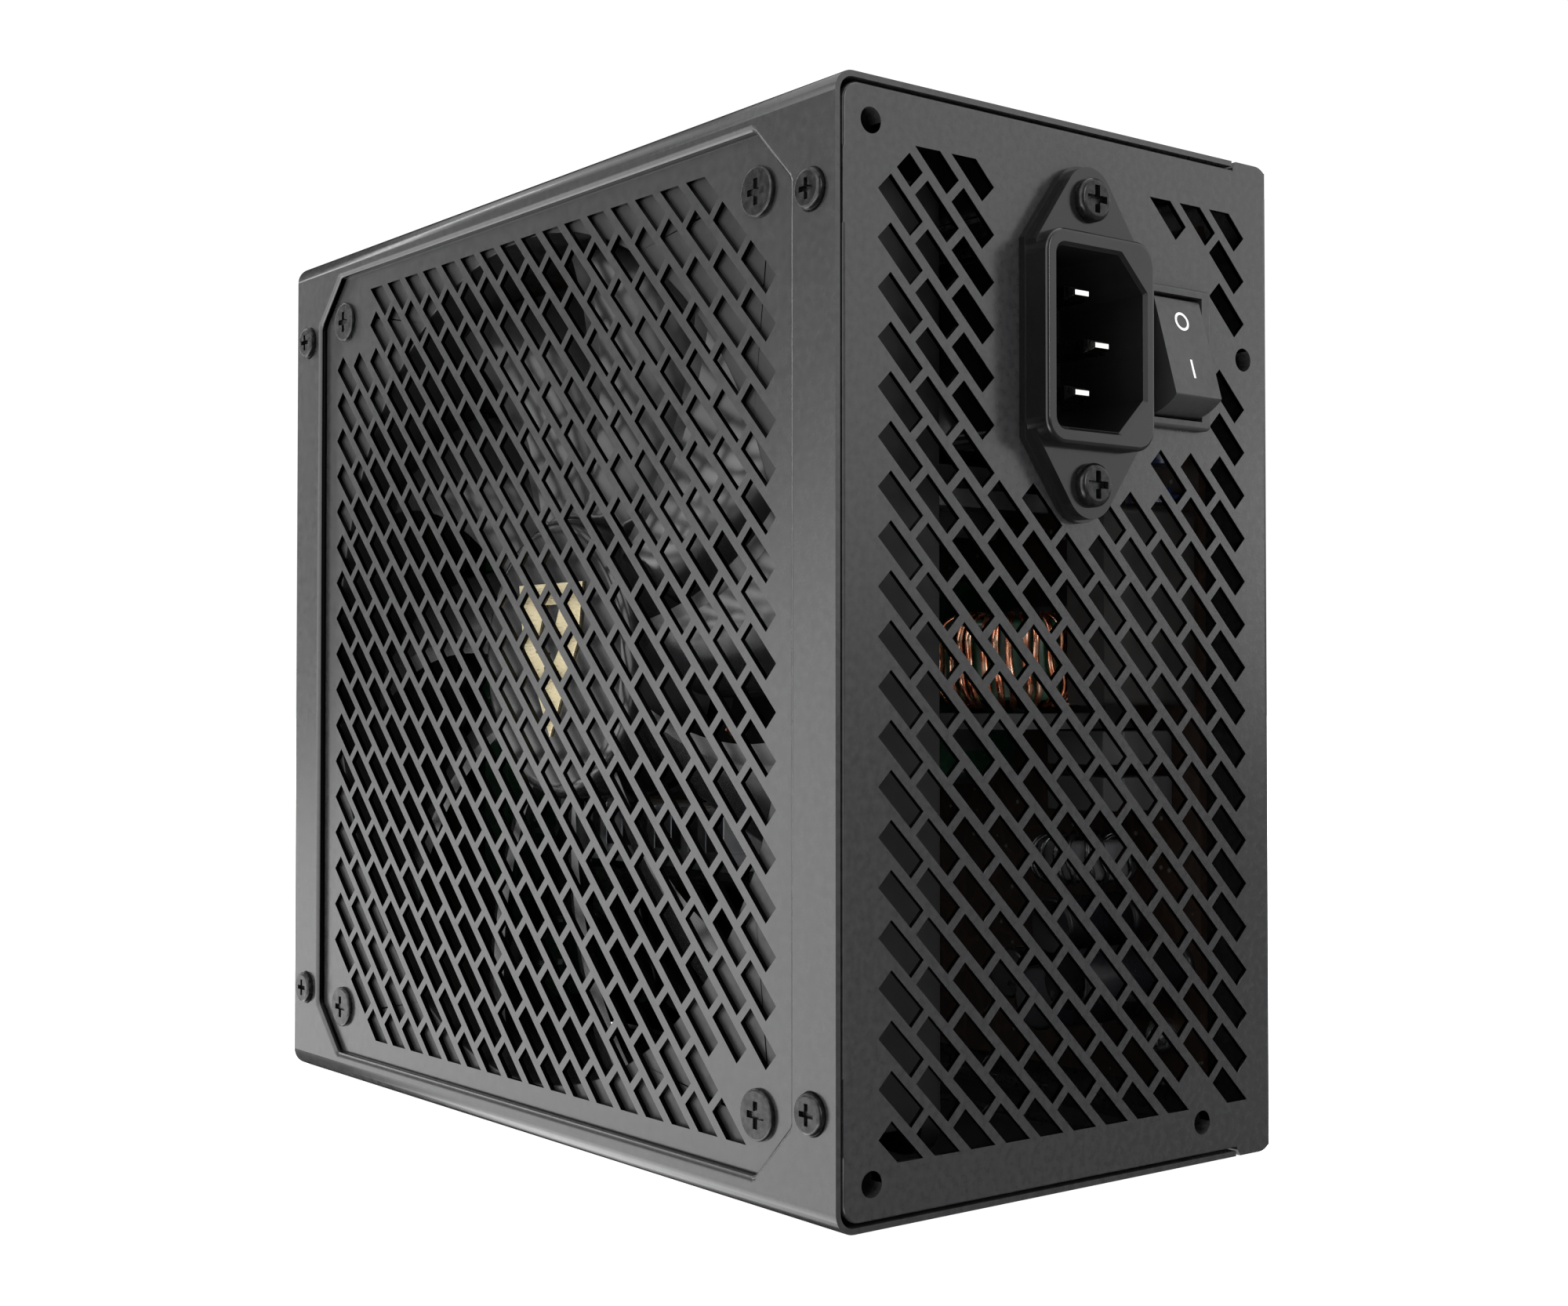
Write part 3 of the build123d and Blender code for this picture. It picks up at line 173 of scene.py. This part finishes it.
def bend_lights(tree, direction, height):
    """Bands of light below and above, which the cover's two long bends reflect."""
    below = combined(tree, "MULTIPLY", gradient(tree, height, -0.84, -0.66, 0.0, 1.0),
                     gradient(tree, height, -0.60, -0.34, FLOOR_LEVEL, DARK_LEVEL))
    above = combined(tree, "MULTIPLY", gradient(tree, height, 0.62, 0.84, 1.0, 0.0),
                     gradient(tree, height, 0.34, 0.56, DARK_LEVEL, OVERHEAD_LEVEL))
    near_fan = gradient(tree, along(tree, direction, FAN_SIDE), 0.06, 0.42, 0.0, 1.0)
    return combined(tree, "MULTIPLY", near_fan, combined(tree, "ADD", below, above))


def make_world():
    """A dark surround with lit parts for reflections, and an even level for other rays."""
    world = bpy.data.worlds.new("studio")
    world.use_nodes = True
    bpy.context.scene.world = world
    tree = world.node_tree
    sky = tree.nodes["Background"]
    direction = tree.nodes.new("ShaderNodeTexCoord").outputs["Generated"]
    height = along(tree, direction, UPWARDS)
    level = combined(tree, "ADD", side_lights(tree, direction, height),
                     bend_lights(tree, direction, height))
    rays = tree.nodes.new("ShaderNodeLightPath")
    for kind, brightness in (("Is Diffuse Ray", FILL_LEVEL), ("Is Camera Ray", BACKDROP_LEVEL)):
        choice = tree.nodes.new("ShaderNodeMix")
        tree.links.new(rays.outputs[kind], choice.inputs[MIX_SHARE])
        tree.links.new(level, choice.inputs[MIX_FIRST_VALUE])
        choice.inputs[MIX_SECOND_VALUE].default_value = brightness
        level = choice.outputs[MIX_VALUE]
    tree.links.new(level, sky.inputs["Strength"])
    sky.inputs["Color"].default_value = (1.0, 1.0, 1.0, 1.0)


def make_floor():
    """A wide sheet of white paper just under the object."""
    floor_mesh = bpy.data.meshes.new("floor")
    corners = [(-FLOOR, -FLOOR, 0), (FLOOR, -FLOOR, 0), (FLOOR, FLOOR, 0), (-FLOOR, FLOOR, 0)]
    floor_mesh.from_pydata(corners, [], [(0, 1, 2, 3)])
    floor = bpy.data.objects.new("floor", floor_mesh)
    floor.location.z = CAD_BOX[0][2] - FLOOR_DROP
    floor.visible_glossy = False
    bpy.context.scene.collection.objects.link(floor)
    paper = Surface("floor_paper")
    paper.colour((0.90, 0.90, 0.90), (0.94, 0.94, 0.94), scale=20)
    paper.roughness(0.8, 0.9, scale=30)
    paper.shader.inputs["Emission Color"].default_value = (1.0, 1.0, 1.0, 1.0)
    paper.shader.inputs["Emission Strength"].default_value = FLOOR_LIT
    floor_mesh.materials.append(paper.material)


def make_studio():
    """A pale floor in a pale surround, with soft lights from the front, the side and above."""
    bpy.context.scene.view_settings.view_transform = "Standard"
    make_world()
    make_floor()
    for lamp in LAMPS:
        area_light(*lamp)


# ---- materials ---------------------------------------------------------------------------
class Surface:
    """A node material built from small steps: colour, roughness, bump and patterns."""

    def __init__(self, name, metal=0.0, coat=0.0, specular=0.5):
        self.material = bpy.data.materials.new(name)
        self.material.use_nodes = True
        self.tree = self.material.node_tree
        self.tree.nodes.clear()
        self.shader = self.add("ShaderNodeBsdfPrincipled")
        self.shader.inputs["Metallic"].default_value = metal
        self.shader.inputs["Coat Weight"].default_value = coat
        self.shader.inputs["Coat Roughness"].default_value = 0.12
        self.shader.inputs["Specular IOR Level"].default_value = specular
        output = self.add("ShaderNodeOutputMaterial")
        self.link(self.shader.outputs["BSDF"], output.inputs["Surface"])
        self.place = self.add("ShaderNodeTexCoord").outputs["Object"]
        self.normal = None

    def add(self, kind):
        return self.tree.nodes.new(kind)

    def link(self, source, target):
        self.tree.links.new(source, target)

    def stretched(self, stretch):
        """Object coordinates scaled along X, Y and Z."""
        mapping = self.add("ShaderNodeMapping")
        mapping.inputs["Scale"].default_value = stretch
        self.link(self.place, mapping.inputs["Vector"])
        return mapping.outputs["Vector"]

    def noise(self, scale, detail=3.0, stretch=(1, 1, 1)):
        """Cloudy pattern; scale is in waves per metre."""
        pattern = self.add("ShaderNodeTexNoise")
        pattern.inputs["Scale"].default_value = scale
        pattern.inputs["Detail"].default_value = detail
        self.link(self.stretched(stretch), pattern.inputs["Vector"])
        return pattern.outputs["Fac"]

    def ramp(self, value, stops):
        """A colour ramp from a value; stops are (position, (r, g, b))."""
        ramp = self.add("ShaderNodeValToRGB")
        elements = ramp.color_ramp.elements
        while len(elements) < len(stops):
            elements.new(0.5)
        for element, (position, rgb) in zip(elements, stops):
            element.position = position
            element.color = (*rgb, 1.0)
        self.link(value, ramp.inputs["Fac"])
        return ramp.outputs["Color"]

    def spread(self, value, low, high, from_low=0.35, from_high=0.65):
        """A value stretched to a new range."""
        change = self.add("ShaderNodeMapRange")
        change.inputs["From Min"].default_value = from_low
        change.inputs["From Max"].default_value = from_high
        change.inputs["To Min"].default_value = low
        change.inputs["To Max"].default_value = high
        self.link(value, change.inputs["Value"])
        return change.outputs["Result"]

    def mix(self, share, below, above):
        """Blend two colours by a share from 0 to 1."""
        blend = self.add("ShaderNodeMix")
        blend.data_type = "RGBA"
        self.link(share, blend.inputs[MIX_SHARE])
        self.link(below, blend.inputs[MIX_FIRST_COLOUR])
        self.link(above, blend.inputs[MIX_SECOND_COLOUR])
        return blend.outputs[MIX_COLOUR]

    def colour(self, dark, light, scale, detail=3.0, stretch=(1, 1, 1)):
        """Cloudy base colour between a dark and a light tone."""
        cloud = self.noise(scale, detail, stretch)
        self.tint = self.ramp(cloud, [(0.35, dark), (0.65, light)])
        self.link(self.tint, self.shader.inputs["Base Color"])

    def paint_over(self, share, rgb):
        """Cover part of the surface with a second colour."""
        flat = self.ramp(share, [(0.0, rgb), (1.0, rgb)])
        self.tint = self.mix(share, self.tint, flat)
        self.link(self.tint, self.shader.inputs["Base Color"])

    def roughness(self, low, high, scale, stretch=(1, 1, 1)):
        """Gloss that varies in clouds."""
        cloud = self.noise(scale, 4.0, stretch)
        self.link(self.spread(cloud, low, high), self.shader.inputs["Roughness"])

    def bump(self, height, depth, strength=0.5):
        """Add relief from a height pattern, in metres of depth, over what is there already."""
        relief = self.add("ShaderNodeBump")
        relief.inputs["Strength"].default_value = strength
        relief.inputs["Distance"].default_value = depth
        self.link(height, relief.inputs["Height"])
        if self.normal is not None:
            self.link(self.normal, relief.inputs["Normal"])
        self.normal = relief.outputs["Normal"]
        self.link(self.normal, self.shader.inputs["Normal"])

    def cells(self, scale, feature="F1"):
        """Distance to the nearest point, or to the nearest edge, of a random network."""
        pattern = self.add("ShaderNodeTexVoronoi")
        pattern.feature = feature
        pattern.inputs["Scale"].default_value = scale
        self.link(self.place, pattern.inputs["Vector"])
        return pattern.outputs["Distance"]

    def bands(self, scale, axis, distortion=0.0):
        """Parallel waves across an axis."""
        pattern = self.add("ShaderNodeTexWave")
        pattern.wave_type = "BANDS"
        pattern.bands_direction = axis
        pattern.wave_profile = "SIN"
        pattern.inputs["Scale"].default_value = scale
        pattern.inputs["Distortion"].default_value = distortion
        self.link(self.place, pattern.inputs["Vector"])
        return pattern.outputs["Fac"]

    def facing(self, axis, low, high):
        """1 where the surface looks along an axis such as (0, -1, 0), else 0.

        The change lies between two cosines of the angle to the axis.
        """
        geometry = self.add("ShaderNodeNewGeometry")
        product = self.add("ShaderNodeVectorMath")
        product.operation = "DOT_PRODUCT"
        product.inputs[1].default_value = axis
        self.link(geometry.outputs["Normal"], product.inputs[0])
        return self.spread(product.outputs["Value"], 0.0, 1.0, low, high)

    def within(self, limits):
        """1 inside a box given as (axis, low, high) in metres for one or more axes."""
        split = self.add("ShaderNodeSeparateXYZ")
        self.link(self.place, split.inputs["Vector"])
        share = None
        for axis, low, high in limits:
            near = self.add("ShaderNodeMath")
            near.operation = "COMPARE"
            self.link(split.outputs[axis], near.inputs[0])
            near.inputs[1].default_value = (low + high) / 2
            near.inputs[2].default_value = (high - low) / 2
            inside = near.outputs[0]
            share = inside if share is None else self.combined("MULTIPLY", share, inside)
        return share

    def combined(self, operation, first, second):
        """Two values joined by an operation such as MULTIPLY."""
        return combined(self.tree, operation, first, second)

    def across(self, axis, limit=0.6):
        """1 where the surface runs along an axis, so that its normal hardly leans to it."""
        geometry = self.add("ShaderNodeNewGeometry")
        lean = self.add("ShaderNodeSeparateXYZ")
        self.link(geometry.outputs["Normal"], lean.inputs["Vector"])
        near = self.add("ShaderNodeMath")
        near.operation = "COMPARE"
        self.link(lean.outputs[axis], near.inputs[0])
        near.inputs[1].default_value = 0.0
        near.inputs[2].default_value = limit
        return near.outputs[0]


def grained(name, dark, light, rough, grain, depth, metal=0.0, coat=0.0, cloud=60, specular=0.5):
    """A surface with slight colour clouds, uneven gloss and a fine grain in relief."""
    made = Surface(name, metal, coat, specular)
    made.colour(dark, light, cloud)
    made.roughness(rough[0], rough[1], grain * 0.4)
    made.bump(made.noise(grain, 2.0), depth)
    return made.material


SKIN = 0.0001                      # outermost layer of the sheet, which is left without the painted shade
FAN_CUTS = 0.003                   # depth of the punched edges and pressed step behind it, which carry painted shade
REAR_CUTS = 0.002
FAN_GRILLE_X = (-0.073, 0.073)
FAN_GRILLE_Z = (0.004, 0.146)
REAR_GRILLE_Y = (-0.038, 0.038)
REAR_GRILLE_Z = (0.006, 0.144)


def powder_coat():
    """Satin powder coat on steel, with orange peel, tiny pits and uneven gloss.

    The punched edges of the grilles and the pressed step carry painted shade: they are coloured
    near black and made metallic, so that they reflect almost nothing.
    """
    made = Surface("powder_coat", specular=0.5)
    made.colour((0.016, 0.016, 0.017), (0.023, 0.023, 0.024), 900, 4.0)
    low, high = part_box("cover_shell")
    fan_side = made.within([("X", *FAN_GRILLE_X), ("Y", low.y + SKIN, low.y + FAN_CUTS),
                            ("Z", *FAN_GRILLE_Z)])
    fan_painted_shade = made.combined("MULTIPLY", fan_side, made.across("Y"))
    rear_side = made.within([("X", high.x - REAR_CUTS, high.x - SKIN), ("Y", *REAR_GRILLE_Y),
                             ("Z", *REAR_GRILLE_Z)])
    rear_painted_shade = made.combined("MULTIPLY", rear_side, made.across("X"))
    painted_shade = made.combined("MAXIMUM", fan_painted_shade, rear_painted_shade)
    # painted shade: the punched edges and the pressed step are coloured near black and made
    # metallic, so that they reflect almost nothing
    made.paint_over(painted_shade, (0.008, 0.008, 0.008))
    made.link(painted_shade, made.shader.inputs["Metallic"])
    made.roughness(0.20, 0.25, 700)
    made.bump(made.noise(2300, 2.0), 0.00003, 0.20)
    made.bump(made.noise(700, 1.0), 0.00005, 0.035)
    return made.material


def brushed(name, dark, light, rough, stretch, metal=1.0):
    """Metal with fine parallel scratches along one axis."""
    made = Surface(name, metal)
    made.colour(dark, light, 120)
    made.roughness(rough[0], rough[1], 400, stretch)
    made.bump(made.noise(700, 3.0, stretch), 0.00002, 0.4)
    return made.material


def blackened_steel():
    """Screw steel with a dark finish, worn a little brighter in patches."""
    made = Surface("blackened_steel", metal=0.75)
    made.colour((0.012, 0.012, 0.013), (0.030, 0.030, 0.031), 1100, 5.0)
    made.roughness(0.18, 0.32, 900)
    made.bump(made.noise(2600, 2.0), 0.00003, 0.25)
    return made.material


def blade_plastic():
    """Glossy moulded plastic with faint flow lines."""
    made = Surface("blade_plastic", specular=0.52)
    made.colour((0.012, 0.012, 0.013), (0.018, 0.018, 0.019), 45)
    made.roughness(0.17, 0.23, 90, (1, 3, 1))
    made.bump(made.noise(1400, 2.0), 0.00001, 0.05)
    return made.material


def enamelled_copper():
    """Copper wire under clear enamel, darker where the enamel is thick."""
    made = Surface("enamelled_copper", metal=1.0, coat=0.6)
    cloud = made.noise(420, 4.0)
    made.tint = made.ramp(cloud, [(0.30, (0.34, 0.06, 0.025)), (0.50, (0.70, 0.26, 0.13)),
                                  (0.66, (0.86, 0.54, 0.37))])
    made.link(made.tint, made.shader.inputs["Base Color"])
    made.roughness(0.18, 0.34, 500)
    made.bump(made.noise(1400, 2.0), 0.00003, 0.4)
    return made.material


def circuit_board(name, mask, trace):
    """Solder mask over glass cloth, with a network of slightly raised traces and pads."""
    made = Surface(name, specular=0.3)
    made.colour(mask, tuple(1.25 * part for part in mask), 90)
    paths = made.cells(210, "DISTANCE_TO_EDGE")
    lines = made.spread(paths, 1.0, 0.0, 0.05, 0.09)
    made.paint_over(lines, trace)
    pads = made.spread(made.cells(330), 1.0, 0.0, 0.10, 0.13)
    made.paint_over(pads, (0.09, 0.09, 0.08))
    made.roughness(0.42, 0.55, 300)
    made.bump(lines, 0.00004, 0.5)
    made.bump(made.noise(1500, 2.0, (1, 1, 3)), 0.00002, 0.3)
    return made.material


def capacitor_sleeve():
    """Shrink sleeve with a paler stripe round part of the side, and a bare metal top."""
    made = Surface("capacitor_sleeve", specular=0.3)
    made.colour((0.003, 0.003, 0.004), (0.006, 0.006, 0.008), 60)
    side = made.facing((0.0, 0.0, 1.0), 0.86, 0.90)
    made.paint_over(side, (0.011, 0.012, 0.014))
    top = made.facing((0.0, -1.0, 0.0), 0.90, 0.95)
    made.paint_over(top, (0.06, 0.06, 0.065))
    made.link(top, made.shader.inputs["Metallic"])
    made.roughness(0.26, 0.40, 240)
    made.bump(made.noise(500, 2.0, (1, 0.2, 1)), 0.00004, 0.3)
    return made.material


def laminated_steel():
    """Edges of stacked steel sheet, seen as fine lines across the fan's axis."""
    made = Surface("laminated_steel", metal=0.9)
    made.colour((0.16, 0.16, 0.17), (0.30, 0.30, 0.32), 200)
    made.roughness(0.35, 0.55, 300)
    made.bump(made.bands(620, "Y"), 0.00008, 0.6)
    return made.material


def polyester_tape():
    """Yellow winding tape in overlapping turns."""
    made = Surface("polyester_tape", coat=0.5)
    made.colour((0.55, 0.36, 0.04), (0.66, 0.46, 0.07), 70)
    made.roughness(0.22, 0.36, 260)
    made.bump(made.bands(60, "Y", 0.6), 0.00012, 0.5)
    return made.material


def coated_core(name, dark, light):
    """Painted powder core with a pebbled finish."""
    made = Surface(name, coat=0.25)
    made.colour(dark, light, 220)
    made.roughness(0.30, 0.46, 420)
    made.bump(made.noise(850, 3.0), 0.00008, 0.5)
    return made.material


def plated_pin():
    """Plated contact blade, bright on its ground end face, with painted shade along its sides,
    which are coloured near black.
    """
    made = Surface("plated_pin", metal=1.0)
    # painted shade: the blade's sides are coloured near black, and only the end face that looks
    # along +X keeps the plating's bright colour
    made.colour((0.09, 0.09, 0.09), (0.16, 0.16, 0.15), 300)
    unshaded_tip = made.facing((1.0, 0.0, 0.0), 0.80, 0.92)
    made.paint_over(unshaded_tip, (0.84, 0.83, 0.80))
    made.roughness(0.20, 0.34, 400, (10, 1, 1))
    made.bump(made.noise(700, 3.0, (10, 1, 1)), 0.00002, 0.4)
    return made.material


FUSE_GLASS_SHARE = 0.58            # half of the fuse's length that is glass
FUSE_CAP_SHARE = 0.60              # and where its caps begin


def fuse_glass():
    """Glass tube with plated caps at both ends."""
    made = Surface("fuse_glass", specular=0.6)
    made.colour((0.62, 0.64, 0.64), (0.74, 0.76, 0.76), 200)
    low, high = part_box("fuse")
    middle = (low.x + high.x) / 2
    glass = FUSE_GLASS_SHARE * (high.x - low.x) / 2
    cap_start = FUSE_CAP_SHARE * (high.x - low.x) / 2
    split = made.add("ShaderNodeSeparateXYZ")
    made.link(made.place, split.inputs["Vector"])
    shifted = made.add("ShaderNodeMath")
    shifted.operation = "SUBTRACT"
    shifted.inputs[1].default_value = middle
    made.link(split.outputs["X"], shifted.inputs[0])
    away = made.add("ShaderNodeMath")
    away.operation = "ABSOLUTE"
    made.link(shifted.outputs["Value"], away.inputs[0])
    cap = made.spread(away.outputs["Value"], 0.0, 1.0, glass, cap_start)
    made.paint_over(cap, (0.60, 0.59, 0.56))
    made.link(cap, made.shader.inputs["Metallic"])
    made.roughness(0.10, 0.22, 300)
    made.bump(made.noise(700, 2.0), 0.00003, 0.3)
    return made.material


def brushed_gold():
    """Gold-coloured metal brushed across the badge."""
    made = Surface("brushed_gold", metal=0.85)
    made.colour((0.62, 0.53, 0.33), (0.76, 0.66, 0.43), 90)
    made.roughness(0.24, 0.40, 500, (1, 1, 12))
    made.bump(made.noise(900, 2.0, (1, 1, 14)), 0.00003, 0.4)
    return made.material


def make_materials():
    """One material for each slot of the record."""
    return {
        "powder_steel": powder_coat(),
        "black_screw": blackened_steel(),
        "fan_plastic": grained("fan_plastic", (0.006, 0.006, 0.006), (0.010, 0.010, 0.010),
                               (0.34, 0.46), 1500, 0.00004, specular=0.30),
        "blade_plastic": blade_plastic(),
        "bright_steel": brushed("ground_steel", (0.48, 0.48, 0.49), (0.62, 0.62, 0.63),
                                (0.20, 0.34), (1, 10, 1)),
        "bronze": grained("sintered_bronze", (0.36, 0.20, 0.08), (0.50, 0.30, 0.13),
                          (0.38, 0.55), 2200, 0.00004, metal=1.0),
        "ferrite": grained("ferrite", (0.030, 0.030, 0.033), (0.052, 0.052, 0.056),
                           (0.48, 0.66), 1300, 0.00006),
        "gold_badge": brushed_gold(),
        "copper": enamelled_copper(),
        "lamination": laminated_steel(),
        "green_board": circuit_board("green_board", (0.004, 0.018, 0.009), (0.006, 0.030, 0.014)),
        "inlet_plastic": grained("inlet_plastic", (0.004, 0.004, 0.004), (0.007, 0.007, 0.007),
                                 (0.16, 0.22), 1900, 0.000008, specular=0.40),
        "nickel": plated_pin(),
        "switch_plastic": grained("switch_plastic", (0.018, 0.018, 0.019), (0.026, 0.026, 0.027),
                                  (0.32, 0.46), 2100, 0.00003),
        "white_ink": grained("white_inlay", (0.72, 0.72, 0.71), (0.82, 0.82, 0.81),
                             (0.35, 0.50), 1500, 0.00002),
        "brown_board": circuit_board("brown_board", (0.012, 0.007, 0.005), (0.020, 0.011, 0.007)),
        "clear_film": grained("insulating_film", (0.020, 0.020, 0.022), (0.032, 0.032, 0.034),
                              (0.18, 0.30), 600, 0.00004, coat=0.3),
        "green_core": coated_core("green_core", (0.003, 0.026, 0.013), (0.005, 0.042, 0.020)),
        "yellow_core": coated_core("yellow_core", (0.42, 0.34, 0.05), (0.55, 0.46, 0.09)),
        "black_wire": grained("wire_insulation", (0.005, 0.005, 0.006), (0.009, 0.009, 0.010),
                              (0.18, 0.30), 500, 0.00003, coat=0.4),
        "black_plastic": grained("component_plastic", (0.016, 0.016, 0.017),
                                 (0.028, 0.028, 0.029), (0.34, 0.52), 1700, 0.00004),
        "capacitor_sleeve": capacitor_sleeve(),
        "film_block": grained("film_block", (0.008, 0.007, 0.007), (0.013, 0.012, 0.011),
                              (0.50, 0.62), 700, 0.00004, specular=0.25),
        "grey_block": grained("grey_epoxy", (0.022, 0.022, 0.023), (0.032, 0.032, 0.034),
                              (0.36, 0.50), 900, 0.00005),
        "blue_ceramic": grained("blue_ceramic", (0.003, 0.008, 0.026), (0.005, 0.012, 0.040),
                                (0.20, 0.34), 500, 0.00008, coat=0.4),
        "heatsink_metal": brushed("extruded_aluminium", (0.50, 0.51, 0.53), (0.64, 0.65, 0.67),
                                  (0.30, 0.46), (1, 12, 1)),
        "fuse_body": fuse_glass(),
        "tape_yellow": polyester_tape(),
        "outlet_plastic": grained("outlet_plastic", (0.014, 0.014, 0.015),
                                  (0.023, 0.023, 0.024), (0.36, 0.50), 1800, 0.00003),
        "tin": brushed("tinned_copper", (0.56, 0.56, 0.54), (0.70, 0.70, 0.68),
                       (0.24, 0.38), (1, 1, 8)),
    }


def dress_frame(materials):
    """Give every CAD node the material of its slot."""
    for entry in frame["record"]["subparts"]:
        node = NODES[entry["node"]]
        node.data.materials.clear()
        node.data.materials.append(materials[entry["material_slot"]])


# ---- edges -------------------------------------------------------------------------------
EDGE_WIDTHS = {  # in millimetres
    "cover_shell": 0.12, "base_tray": 0.12, "fan_frame": 0.30, "inlet_housing": 0.22,
    "switch_frame": 0.15, "switch_rocker": 0.20, "cover_screws": 0.08, "fan_screws": 0.08,
    "inlet_screws": 0.08, "inlet_pins": 0.15, "fan_hub_badge": 0.10,
    "large_film_capacitor": 0.25, "small_film_capacitors": 0.25, "transformer_core": 0.25,
    "outlet_socket_wide": 0.12, "outlet_socket_medium": 0.12, "outlet_sockets_small": 0.12,
    "primary_heatsink": 0.12, "secondary_heatsink": 0.12, "power_transistors": 0.15,
}


WELD_DISTANCE = 1e-6
SHARP_ANGLE = math.radians(38)


def soften_edges():
    """Join each node's loose triangles and break its sharp edges with a narrow bevel."""
    for name, node in NODES.items():
        weld = node.modifiers.new("weld", "WELD")
        weld.merge_threshold = WELD_DISTANCE
        if name in EDGE_WIDTHS:
            bevel = node.modifiers.new("bevel", "BEVEL")
            bevel.width = EDGE_WIDTHS[name] * MM
            bevel.segments = 2
            bevel.limit_method = "ANGLE"
            bevel.angle_limit = SHARP_ANGLE
            bevel.harden_normals = True
            bevel.use_clamp_overlap = True


# ---- wound chokes ------------------------------------------------------------------------
AXES = {"X": 0, "Y": 1, "Z": 2}
WIRE_BEND = 0.35       # share of the core's radial thickness that each bend of a turn takes
TURN_LEAN = 0.30       # share of the pitch that a turn leans over between outside and inside
TURN_WOBBLE = 0.12     # share of the pitch by which turns stray from even spacing
WOBBLE_RATE = 2.4
OUTPUT_CORE_WALL = 0.0046

# name, core, axis, wire radius in metres, turns in a sector, sectors in degrees, winding, slot
WINDINGS = (
    ("filter_choke_turns", "filter_choke_core", "Z", 0.00058, 14, [(75, 225), (255, 405)],
     "filter_choke_windings", "copper"),
    ("boost_choke_turns", "boost_choke_core", "X", 0.00080, 27, [(15, 350)],
     "boost_choke_winding", "copper"),
    ("line_choke_turns", "line_choke_core", "Z", 0.00045, 18, [(10, 345)],
     "line_choke_winding", "black_wire"),
)


def core_size(node, axis, middle):
    """Outer radius, inner radius and half height of a ring core, from its own points."""
    along_axis = AXES[axis]
    across = [index for index in range(3) if index != along_axis]
    offsets = [vertex.co - middle for vertex in NODES[node].data.vertices]
    radii = [math.hypot(offset[across[0]], offset[across[1]]) for offset in offsets]
    return max(radii), min(radii), max(abs(offset[along_axis]) for offset in offsets)


def loop_points(outer, inner, half, wire):
    """One turn of wire round the core's section, as (radius, height, lean) corners.

    The lean goes from 0 outside the core to 1 inside it.
    """
    soft = WIRE_BEND * (outer - inner)
    high = half + wire
    return [(outer + wire, 0.0, 0.0), (outer + wire, half - soft, 0.05),
            (outer - soft, high, 0.2), (inner + soft, high, 0.7),
            (inner - wire, half - soft, 0.95), (inner - wire, 0.0, 1.0),
            (inner - wire, soft - half, 1.0), (inner + soft, -high, 1.0),
            (outer - soft, -high, 1.0), (outer + wire, soft - half, 1.0)]


def placed(axis, middle, radius, height, angle):
    """A point given round the core's axis."""
    across = (radius * math.cos(angle), radius * math.sin(angle))
    if axis == "Z":
        return middle + Vector((across[0], across[1], height))
    return middle + Vector((height, across[0], across[1]))


def add_turn(curve, core, wire, axis, middle, start, step):
    """One closed turn of wire round a core; step is the angle from turn to turn."""
    corners = loop_points(*core, wire)
    spline = curve.splines.new("BEZIER")
    spline.bezier_points.add(len(corners) - 1)
    for point, (radius, height, lean) in zip(spline.bezier_points, corners):
        point.co = placed(axis, middle, radius, height, start + TURN_LEAN * step * lean)
        point.handle_left_type = "AUTO"
        point.handle_right_type = "AUTO"
    spline.use_cyclic_u = True


def wound(name, middles, core, axis, wire, turns, sectors, node, slot):
    """Separate turns of wire on one or more ring cores of the same size.

    The core is its outer radius, inner radius and half height.
    """
    curve = bpy.data.curves.new(name, "CURVE")
    curve.dimensions = "3D"
    curve.bevel_depth = wire
    curve.bevel_resolution = 2
    curve.resolution_u = 5
    for middle in middles:
        for first, last in sectors:
            step = math.radians(last - first) / turns
            for turn in range(turns):
                wobble = TURN_WOBBLE * step * math.sin(WOBBLE_RATE * turn)
                start = math.radians(first) + step * (turn + 0.5) + wobble
                add_turn(curve, core, wire, axis, middle, start, step)
    piece = bpy.data.objects.new(name, curve)
    bpy.context.scene.collection.objects.link(piece)
    curve.materials.append(MATERIALS[slot])
    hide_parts(node)
    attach(piece, "chassis")


def wind_chokes():
    """Turns of wire in place of the CAD windings."""
    for name, node, axis, wire, turns, sectors, winding, slot in WINDINGS:
        low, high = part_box(node)
        middle = (low + high) / 2
        size = core_size(node, axis, middle)
        wound(name, [middle], size, axis, wire, turns, sectors, winding, slot)
    low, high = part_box("output_choke_cores")
    reach = (high.y - low.y) / 2
    middles = [Vector((low.x + reach, (low.y + high.y) / 2, (low.z + high.z) / 2)),
               Vector((high.x - reach, (low.y + high.y) / 2, (low.z + high.z) / 2))]
    size = (reach, reach - OUTPUT_CORE_WALL, (high.z - low.z) / 2)
    wound("output_choke_turns", middles, size, "Z", 0.00060, 17, [(10, 350)],
          "output_choke_windings", "copper")


make_camera()
make_studio()
MATERIALS = make_materials()
dress_frame(MATERIALS)
soften_edges()
wind_chokes()
